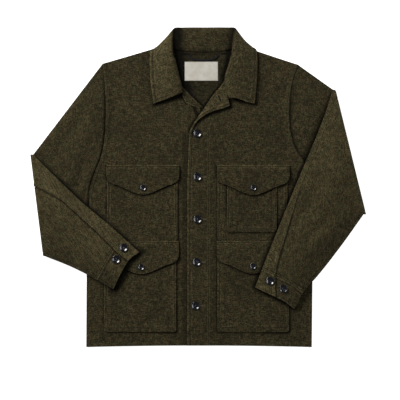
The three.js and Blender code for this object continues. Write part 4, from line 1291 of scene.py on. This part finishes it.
def button_mesh(radius, height):
    """A rimmed disc, dished in the middle."""
    floor = dish_floor(radius, height)
    slope = [(mix(radius - DISH_RIM, DISH_SHARE * radius, t), mix(height - RIM_DROP, floor, t))
             for t in (0, 0.1, 0.5, 0.9, 1)]
    profile = [
        (radius - 1.2, 0.0), (radius - 0.35, 0.35), (radius, 1.0), (radius, height - 1.3),
        (radius - 0.25, height - 0.55), (radius - 0.9, height), *slope, (radius * 0.45, floor - 0.1),
    ]
    build = bmesh.new()
    rings = [[build.verts.new((0, 0, 0))]]
    turns = [2 * math.pi * k / BUTTON_SIDES for k in range(BUTTON_SIDES)]
    for r, h in profile:
        ring = [(r * math.cos(turn) / 1000, r * math.sin(turn) / 1000, h / 1000) for turn in turns]
        rings.append([build.verts.new(place) for place in ring])
    rings.append([build.verts.new((0, 0, (floor - 0.12) / 1000))])
    link_rings(build, rings)
    return built(build, "button_blank", outward=True)


def drilled_button(radius, height):
    """A button with four holes cut through."""
    blank = add_object("button_blank", button_mesh(radius, height))
    rods = bmesh.new()
    spread, hole = HOLE_SPREAD * radius / 1000, HOLE_SIZE * radius / 1000
    for sx in (-1, 1):
        for sy in (-1, 1):
            rod = bmesh.ops.create_cone(rods, cap_ends=True, segments=14, radius1=hole, radius2=hole,
                                        depth=0.01)
            bmesh.ops.translate(rods, verts=rod["verts"], vec=(sx * spread, sy * spread, 0.003))
    cutter = add_object("holes", built(rods, "holes"))
    cut = blank.modifiers.new("drill", "BOOLEAN")
    cut.operation = "DIFFERENCE"
    cut.object = cutter
    cut.solver = "EXACT"
    done = applied(blank)
    bpy.data.objects.remove(cutter)
    return done


def thread_mesh(radius, height):
    """Two bars of thread across a button's holes, with the ends going down into them."""
    build = bmesh.new()
    spread, top = HOLE_SPREAD * radius, dish_floor(radius, height) + 0.35
    for side in (-1, 1):
        for strand in (-STRAND_OFFSET, STRAND_OFFSET):
            line = [(-spread, height - 2.4), (-spread, top - 0.3), (-0.6 * spread, top), (0, top + 0.15),
                    (0.6 * spread, top), (spread, top - 0.3), (spread, height - 2.4)]
            rings = []
            for x, z in line:
                upright = abs(x) > 0.9 * spread
                ring = []
                for k in range(YARN_SIDES):
                    angle = 2 * math.pi * k / YARN_SIDES
                    ring.append(build.verts.new((
                        (x + 0.16 * math.cos(angle) * upright) / 1000,
                        (side * spread + strand + YARN_RADIUS * math.sin(angle)) / 1000,
                        (z + YARN_RADIUS * math.cos(angle) * (not upright)) / 1000)))
                rings.append(ring)
            link_rings(build, rings)
            build.faces.new(rings[0][::-1])
            build.faces.new(rings[-1])
    return built(build, "button_thread", outward=True)


blanks = {kind: drilled_button(*size) for kind, size in BUTTON_SIZES.items()}
threads = {kind: thread_mesh(*size) for kind, size in BUTTON_SIZES.items()}


def place_mesh(name, source, x, y, z, normal, turn, material):
    """A copy of a small mesh, turned and set on a surface, with its place in its points."""
    mesh = source.copy()
    mesh.name = name
    upright = normal.to_track_quat("Z", "Y").to_matrix().to_4x4()
    mesh.transform(Matrix.Translation(in_frame(x, y, z)) @ upright @ Matrix.Rotation(turn, 4, "Z"))
    dress(mesh, material)
    return add_object(name, mesh)


button_rows = []
for i, (x, y) in enumerate(FRONT_BUTTONS):
    button_rows.append((f"button_front_{i + 1}", "front", x, y, ["cloth_front_left"], 0.15 * i))
for name, flap in FLAPS.items():
    up = 18 if flap["front"] == "right" else 19
    button_rows.append((f"button_{name}", "flap", flap["tip"], flap["point"] + up, ["cloth_" + name], 0.3))
for key in ("right", "left"):
    for i, (x, y) in enumerate(CUFF_BUTTONS[key]):
        button_rows.append((f"button_cuff_{key}_{i + 1}", "cuff", x, y, [f"cloth_cuff_{key}"], 0.7 + 0.4 * i))

# Objects with the nodes that they replace and their material slot
small_pieces = []
for name, kind, x, y, seats, turn in button_rows:
    spots = [surface_at(seats, x + dx, y + dy) for dx, dy in ((0, 0), (-7, 0), (7, 0), (0, -7), (0, 7))]
    spots = [spot for spot in spots if spot]
    base = max(spot[0] for spot in spots)
    tilt = sum((spot[1] for spot in spots), Vector((0, 0, 0))).normalized()
    tilt = (tilt + Vector((0, 0, 2))).normalized()
    at = (x, y, base + BUTTON_GAP, tilt, turn)
    disc = place_mesh("horn_" + name, blanks[kind], *at, horn)
    yarn = place_mesh("thread_" + name, threads[kind], *at, thread_dark)
    small_pieces += [(disc, [name], "button"), (yarn, [], "button")]


# Topstitching: a tree of Geometry Nodes sets a stitch at every pitch along the lines it is given
def stitch_tree():
    tree = bpy.data.node_groups.new("topstitching", "GeometryNodeTree")
    face = tree.interface
    face.new_socket("Lines", in_out="INPUT", socket_type="NodeSocketGeometry")
    for label in ("Pitch", "Length", "Thread"):
        face.new_socket(label, in_out="INPUT", socket_type="NodeSocketFloat")
    face.new_socket("Yarn", in_out="INPUT", socket_type="NodeSocketMaterial")
    face.new_socket("Stitches", in_out="OUTPUT", socket_type="NodeSocketGeometry")

    def add(kind, settings=None, **inputs):
        """A node, and its outputs. An input is a value or the output of another node."""
        node = tree.nodes.new(kind)
        for key, value in (settings or {}).items():
            setattr(node, key, value)
        for key, value in inputs.items():
            if isinstance(value, bpy.types.NodeSocket):
                tree.links.new(value, node.inputs[key])
            else:
                node.inputs[key].default_value = value
        return node.outputs

    given = add("NodeGroupInput")
    lines = add("GeometryNodeMeshToCurve", Mesh=given["Lines"])
    spaced = add("GeometryNodeResampleCurve", {"mode": "LENGTH"}, Curve=lines["Curve"], Length=given["Pitch"])
    tangent = add("GeometryNodeInputTangent")
    turned = add("FunctionNodeAlignEulerToVector", {"axis": "X"}, Vector=tangent[0])
    bead = add("GeometryNodeMeshIcoSphere", Radius=0.5, Subdivisions=1)
    size = add("ShaderNodeCombineXYZ", X=given["Length"], Y=given["Thread"], Z=given["Thread"])
    shaped = add("GeometryNodeTransform", Geometry=bead["Mesh"], Scale=size[0])
    sewn = add("GeometryNodeInstanceOnPoints", Points=spaced["Curve"], Instance=shaped["Geometry"],
               Rotation=turned[0])
    real = add("GeometryNodeRealizeInstances", Geometry=sewn["Instances"])
    coloured = add("GeometryNodeSetMaterial", Geometry=real["Geometry"], Material=given["Yarn"])
    add("NodeGroupOutput", Stitches=coloured["Geometry"])
    return tree


STITCHING = stitch_tree()


def sew(name, paths, pitch=0.0036, length=0.0028, thread=0.0008, yarn=None):
    """Stitches along paths of points in metres, as one plain mesh."""
    points, edges = [], []
    for path in paths:
        start = len(points)
        points += [tuple(p) for p in path]
        edges += [(start + k, start + k + 1) for k in range(len(path) - 1)]
    mesh = bpy.data.meshes.new(name + "_lines")
    mesh.from_pydata(points, edges, [])
    guide = add_object(name + "_lines", mesh)
    modifier = guide.modifiers.new("stitches", "NODES")
    modifier.node_group = STITCHING
    given = {"Pitch": pitch, "Length": length, "Thread": thread, "Yarn": yarn or thread_olive}
    for item in STITCHING.interface.items_tree:
        if item.name in given:
            modifier[item.identifier] = given[item.name]
    bpy.context.view_layer.update()
    done = applied(guide)
    done.name = name
    return add_object(name, done)


def laid_path(piece_names, plan_points, lift=0.12, pitch=4.0):
    """A line in plan, laid on the top of the pieces, in metres. It is split where no piece is below it."""
    walk = Walk(plan_points)
    count = max(2, int(walk.length / pitch))
    runs, run = [], []
    for x, y in walk(np.linspace(0, 1, count + 1)):
        spot = surface_at(piece_names, x, y)
        if spot:
            run.append(in_frame(x, y, spot[0] + lift))
        else:
            runs.append(run)
            run = []
    return [run for run in [*runs, run] if len(run) > 1]


def inset(name, edges, distance):
    """A line on a panel, at a distance from the named edges, in the order in which they are given."""
    plan = panels[name].plan
    t = np.linspace(0, 1, 60)
    du, dv = distance / Panel.span(plan, 0), distance / Panel.span(plan, 1)
    u_low, u_high = du * ("left" in edges), 1 - du * ("right" in edges)
    v_low, v_high = dv * ("bottom" in edges), 1 - dv * ("top" in edges)
    lines = {
        "left": (np.full_like(t, du), mix(v_high, v_low, t)),
        "bottom": (mix(u_low, u_high, t), np.full_like(t, dv)),
        "right": (np.full_like(t, 1 - du), mix(v_low, v_high, t)),
        "top": (mix(u_high, u_low, t), np.full_like(t, 1 - dv)),
    }
    return np.vstack([plan(*lines[edge]) for edge in edges])


# The piece and the line of each row on the fronts
front_rows = []
for name, sides in POCKET_LINES.items():
    piece = "cloth_" + name
    front_rows += [(piece, inset(piece, [side], line)) for side, lines in sides.items() for line in lines]
for name in FLAPS:
    front_rows.append(("cloth_" + name, inset("cloth_" + name, ["top"], FLAP_STITCH)))
placket = "cloth_front_left"
front_rows.append((placket, inset(placket, ["left"], FRONT_STITCH)[:58]))
for aside in (22, 27.5):
    front_rows.append((placket, [(aside, 8), (aside, 560), (aside + 5, 596)]))
front_rows += [
    (placket, inset(placket, ["right"], FRONT_STITCH)),
    ("cloth_front_right", inset("cloth_front_right", ["left"], FRONT_STITCH)),
    ("cloth_front_right", [(-31, 632), (-31, 560), (-32, 540)]),
]
front_paths = []
for piece, line in front_rows:
    front_paths += laid_path([piece], line)
stitches_front = sew("stitches_front", front_paths)
collar_paths = laid_path(["cloth_facing_left"], inset("cloth_facing_left", ["right"], FACING_STITCH))
for row in collar_rows:
    collar_paths += laid_path(["cloth_collar"], row)
stitches_collar = sew("stitches_collar", collar_paths)

sleeve_paths = []
for key, arm in arms.items():
    ways = np.linspace(2.05, 2.99, 90)
    spots = arm.point(ways, arm.seam(ways) - SLEEVE_STITCH, np.full_like(ways, -SPREAD))
    sleeve_paths += laid_path([f"cloth_sleeve_{key}_upper", f"cloth_cuff_{key}"], spots[:, :2])
    for row in BAND_LINES:
        way = CUFF_START + row * CUFF_SHARE / CUFF_DEPTH
        first = 3 if key == "left" else float(arm.seam(way)) + 3
        e = np.linspace(first, float(arm.width(way)) - 3, 60)
        spots = arm.point(np.full_like(e, way), e, np.full_like(e, -SPREAD))
        sleeve_paths += laid_path([f"cloth_cuff_{key}"], spots[:, :2])
stitches_sleeve = sew("stitches_sleeve", sleeve_paths)


# Buttonholes: a slit bound with close stitches
def make_plain(name, colour, roughness=0.8):
    finish = Finish(name, roughness=roughness)
    tone = finish.noise(finish.place(), 900, detail=2)
    finish.speckle(tone, colour, 0.7, 1.3)
    return finish.material


BAR_PITCH = 0.75                # between the bars of thread beside a buttonhole
# A dark strip laid along each slit is painted shade for its opening
slit_shade = make_plain("slit_shade", (0.004, 0.004, 0.003))


def buttonhole(name, piece, x0, y0, x1, y1, bind=1.5, slit_width=0.0008):
    """Close bars of thread on both sides of a slit, and a dark strip in the slit, painted shade for its
    opening.
    """
    length = math.hypot(x1 - x0, y1 - y0)
    ax, ay = (x1 - x0) / length, (y1 - y0) / length
    bars = []
    for side in (-1, 1):
        for k in range(int(length / BAR_PITCH) + 1):
            px, py = x0 + ax * BAR_PITCH * k, y0 + ay * BAR_PITCH * k
            z = surface_at([piece], px, py)[0] + 0.25
            bars.append([in_frame(px - ay * side * out, py + ax * side * out, z)
                         for out in (450 * slit_width, bind)])
    sew_bars = sew(name, bars, pitch=0.01, length=0.0017, thread=0.0007)
    slit = sew(name + "_slit", laid_path([piece], [(x0, y0), (x1, y1)], lift=slit_width * 250, pitch=1.0),
               pitch=0.0008, length=0.0017, thread=slit_width, yarn=slit_shade)
    return [sew_bars, slit]


holes = []
for i, (x, y) in enumerate(FRONT_BUTTONS):
    holes += buttonhole(f"buttonhole_{i + 1}", "cloth_front_left", x + 10.5, y, x + 24, y)
holes += buttonhole("buttonhole_lapel", "cloth_facing_left", 50.5, 652, 56, 638, bind=3.2, slit_width=0.0036)


# Label and hanger loop
def make_label_material():
    finish = Finish("label_linen", roughness=0.75, specular=0.25)
    warp, weft = [finish.node("ShaderNodeTexWave", {"wave_type": "BANDS", "bands_direction": way}, output=1,
                              Vector=finish.place(grain=True), Scale=620.0, Distortion=0.4) for way in "XY"]
    tone = finish.noise(finish.place(), 60, detail=3)
    base = finish.blend(tone.between(0.3, 0.7), (0.72, 0.68, 0.58), (0.84, 0.81, 0.73))
    finish.colour(finish.blend(warp * weft * 0.25, base, (0.5, 0.46, 0.38)))
    finish.bump(warp + weft, 0.00018)
    return finish.material


add_panel(
    "cloth_label", Walk([(-37, 692), (49, 692)]), Walk([(49, 692), (49, 741)]),
    Walk([(-37, 741), (49, 741)]), Walk([(-37, 692), (-37, 741)]),
    lambda x, y, u, v: back_under(x, y) + LAYER + 0.1 + 0.15 * np.sin(x / 17) * np.sin(y / 11),
    pitch=2.5, thickness=0.8, seamed=4, material=make_label_material(), round_width=0.7)
label_line = inset("cloth_label", ["left", "bottom", "right", "top"], 1.6)
thread_cream = make_thread_material("thread_cream", (0.5, 0.46, 0.36))
label_stitches = sew("stitches_label", laid_path(["cloth_label"], label_line, pitch=2.0),
                     pitch=0.0028, length=0.0021, thread=0.0004, yarn=thread_cream)

LOOP_ROUTE = [(-29, 759), (-24, 753), (-14, 747.5), (8, 745.5), (32, 746.5), (44, 751.5), (51, 759)]
LOOP_RADIUS = 1.9
LOOP_STEPS = 220
PLY_SIDES = 10
PLY_TWIST = 7.0                 # length of one turn of the plies


def hanger_loop():
    """Two plies of dark cord twisted round each other."""
    line = Walk(smooth(LOOP_ROUTE, 12))
    centres = line(np.linspace(0, 1, LOOP_STEPS))
    z = back_under(centres[:, 0], centres[:, 1]) + LAYER + LOOP_RADIUS
    middle = np.column_stack([centres, z])
    tangent = np.gradient(middle, axis=0)
    tangent /= np.linalg.norm(tangent, axis=1, keepdims=True)
    aside = np.cross(tangent, np.array([0, 0, 1.0]))
    upward = np.cross(aside, tangent)
    reached = np.linspace(0, line.length, LOOP_STEPS)
    ply = LOOP_RADIUS * 0.52
    turns = 2 * math.pi * np.arange(PLY_SIDES)[:, None, None] / PLY_SIDES
    build = bmesh.new()
    for strand in (0, math.pi):
        angle = (2 * math.pi * reached / PLY_TWIST + strand)[:, None]
        core = middle + (aside * np.cos(angle) + upward * np.sin(angle)) * (LOOP_RADIUS - ply)
        skin = core + (aside * np.cos(turns) + upward * np.sin(turns)) * ply
        rings = [[build.verts.new(in_frame(*place)) for place in ring] for ring in np.swapaxes(skin, 0, 1)]
        link_rings(build, rings)
        build.faces.new(rings[0][::-1])
        build.faces.new(rings[-1])
    mesh = built(build, "cord_hanger_loop", outward=True)
    dress(mesh, make_plain("loop_cord", (0.012, 0.013, 0.022), 0.75))
    return add_object("cord_hanger_loop", mesh)


loop_piece = hanger_loop()

# The nodes that each piece lies on in the frame
RESTS = {
    "cloth_back": [], "cloth_front_right": ["back"], "cloth_front_left": ["back", "front_right"],
    "cloth_facing_right": ["front_right"], "cloth_facing_left": ["front_left"], "cloth_label": ["back"],
}


def declare(piece, nodes, slot):
    """The piece rides the root body, and the nodes that it replaces are hidden. The slot of its material is
    not used.
    """
    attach(piece, "root")
    if nodes:
        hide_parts(*nodes)


def declare_sheet(piece, flat, area, held, rests):
    min(area, flat[0] * flat[1])


for name, panel in panels.items():
    node = name.replace("cloth_", "")
    declare(panel.piece, [node], "label_cloth" if node == "label" else "wool")
    rests = RESTS.get(name, ["front_right" if "right" in node else "front_left"])
    declare_sheet(panel.piece, panel.flat, panel.area, "laid", rests)
for name, (piece, flat, area) in tubes.items():
    declare(piece, [name.replace("cloth_", "")], "wool")
    declare_sheet(piece, flat, area, "folded", ["back"])
collar_nodes = ["collar_stand", "collar_fall", "collar_leaf_right", "collar_leaf_left"]
declare(collar_sheet[0], collar_nodes, "collar_wool")
declare_sheet(*collar_sheet, "folded", ["back", "front_right", "front_left"])
small_pieces += [(piece, [], "wool") for piece in (
    stitches_front, stitches_collar, stitches_sleeve, label_stitches, *holes)]
small_pieces.append((loop_piece, ["hanger_loop"], "tape"))
for piece, nodes, slot in small_pieces:
    declare(piece, nodes, slot)


# The table, the light and the camera
TABLE_REACH = 6.0


def make_floor():
    mesh = bpy.data.meshes.new("table_top")
    corners = [(TABLE_REACH * x, TABLE_REACH * y, 0) for x, y in ((-1, -1), (1, -1), (1, 1), (-1, 1))]
    mesh.from_pydata(corners, [], [(0, 1, 2, 3)])
    finish = Finish("table_white", roughness=0.85, specular=0.2)
    tone = finish.noise(finish.place(), 3, detail=2)
    finish.colour(finish.blend(tone, (0.86, 0.86, 0.86), (0.90, 0.90, 0.90)))
    finish.shader.inputs["Emission Color"].default_value = (1, 1, 1, 1)
    finish.shader.inputs["Emission Strength"].default_value = 0.9
    mesh.materials.append(finish.material)
    add_object("table_top", mesh)


make_floor()


def add_light(name, place, width, height, power, colour):
    """A lamp that points at the middle of the jacket."""
    data = bpy.data.lights.new(name, "AREA")
    data.shape = "ELLIPSE"
    data.size = width
    data.size_y = height
    data.energy = power
    data.color = colour
    light = add_object(name, data)
    light.location = place
    light.rotation_euler = (-Vector(place)).to_track_quat("-Z", "Y").to_euler()


add_light("key", (-2.15, 1.75, 2.0), 2.1, 1.1, 114, (1.0, 0.985, 0.96))
add_light("fill", (2.2, 0.1, 1.9), 3.2, 0.7, 21, (0.95, 0.97, 1.0))
WORLD_LIGHT = 0.10
world = bpy.data.worlds.new("studio")
world.use_nodes = True
world.node_tree.nodes["Background"].inputs["Color"].default_value = (1, 1, 1, 1)
world.node_tree.nodes["Background"].inputs["Strength"].default_value = WORLD_LIGHT
scene = bpy.context.scene
scene.world = world
scene.view_settings.view_transform = "Standard"

# The photograph is square, taken from straight above. The jacket's centre line and hem are at ORIGIN_PIXEL
PHOTO_PIXELS = 400
ORIGIN_PIXEL = (199, 347)
MM_PER_PIXEL = 2.6
CAMERA_HEIGHT = 4.0
SENSOR = 36.0
camera_data = bpy.data.cameras.new("camera")
camera_data.sensor_width = SENSOR
camera_data.lens = SENSOR * CAMERA_HEIGHT / (PHOTO_PIXELS * MM_PER_PIXEL / 1000)
camera_data.clip_end = 50
middle_x = (PHOTO_PIXELS / 2 - ORIGIN_PIXEL[0]) * MM_PER_PIXEL
middle_y = (ORIGIN_PIXEL[1] - PHOTO_PIXELS / 2) * MM_PER_PIXEL
scene.camera = add_object("camera", camera_data)
scene.camera.location = in_frame(middle_x, middle_y, 1000 * CAMERA_HEIGHT)
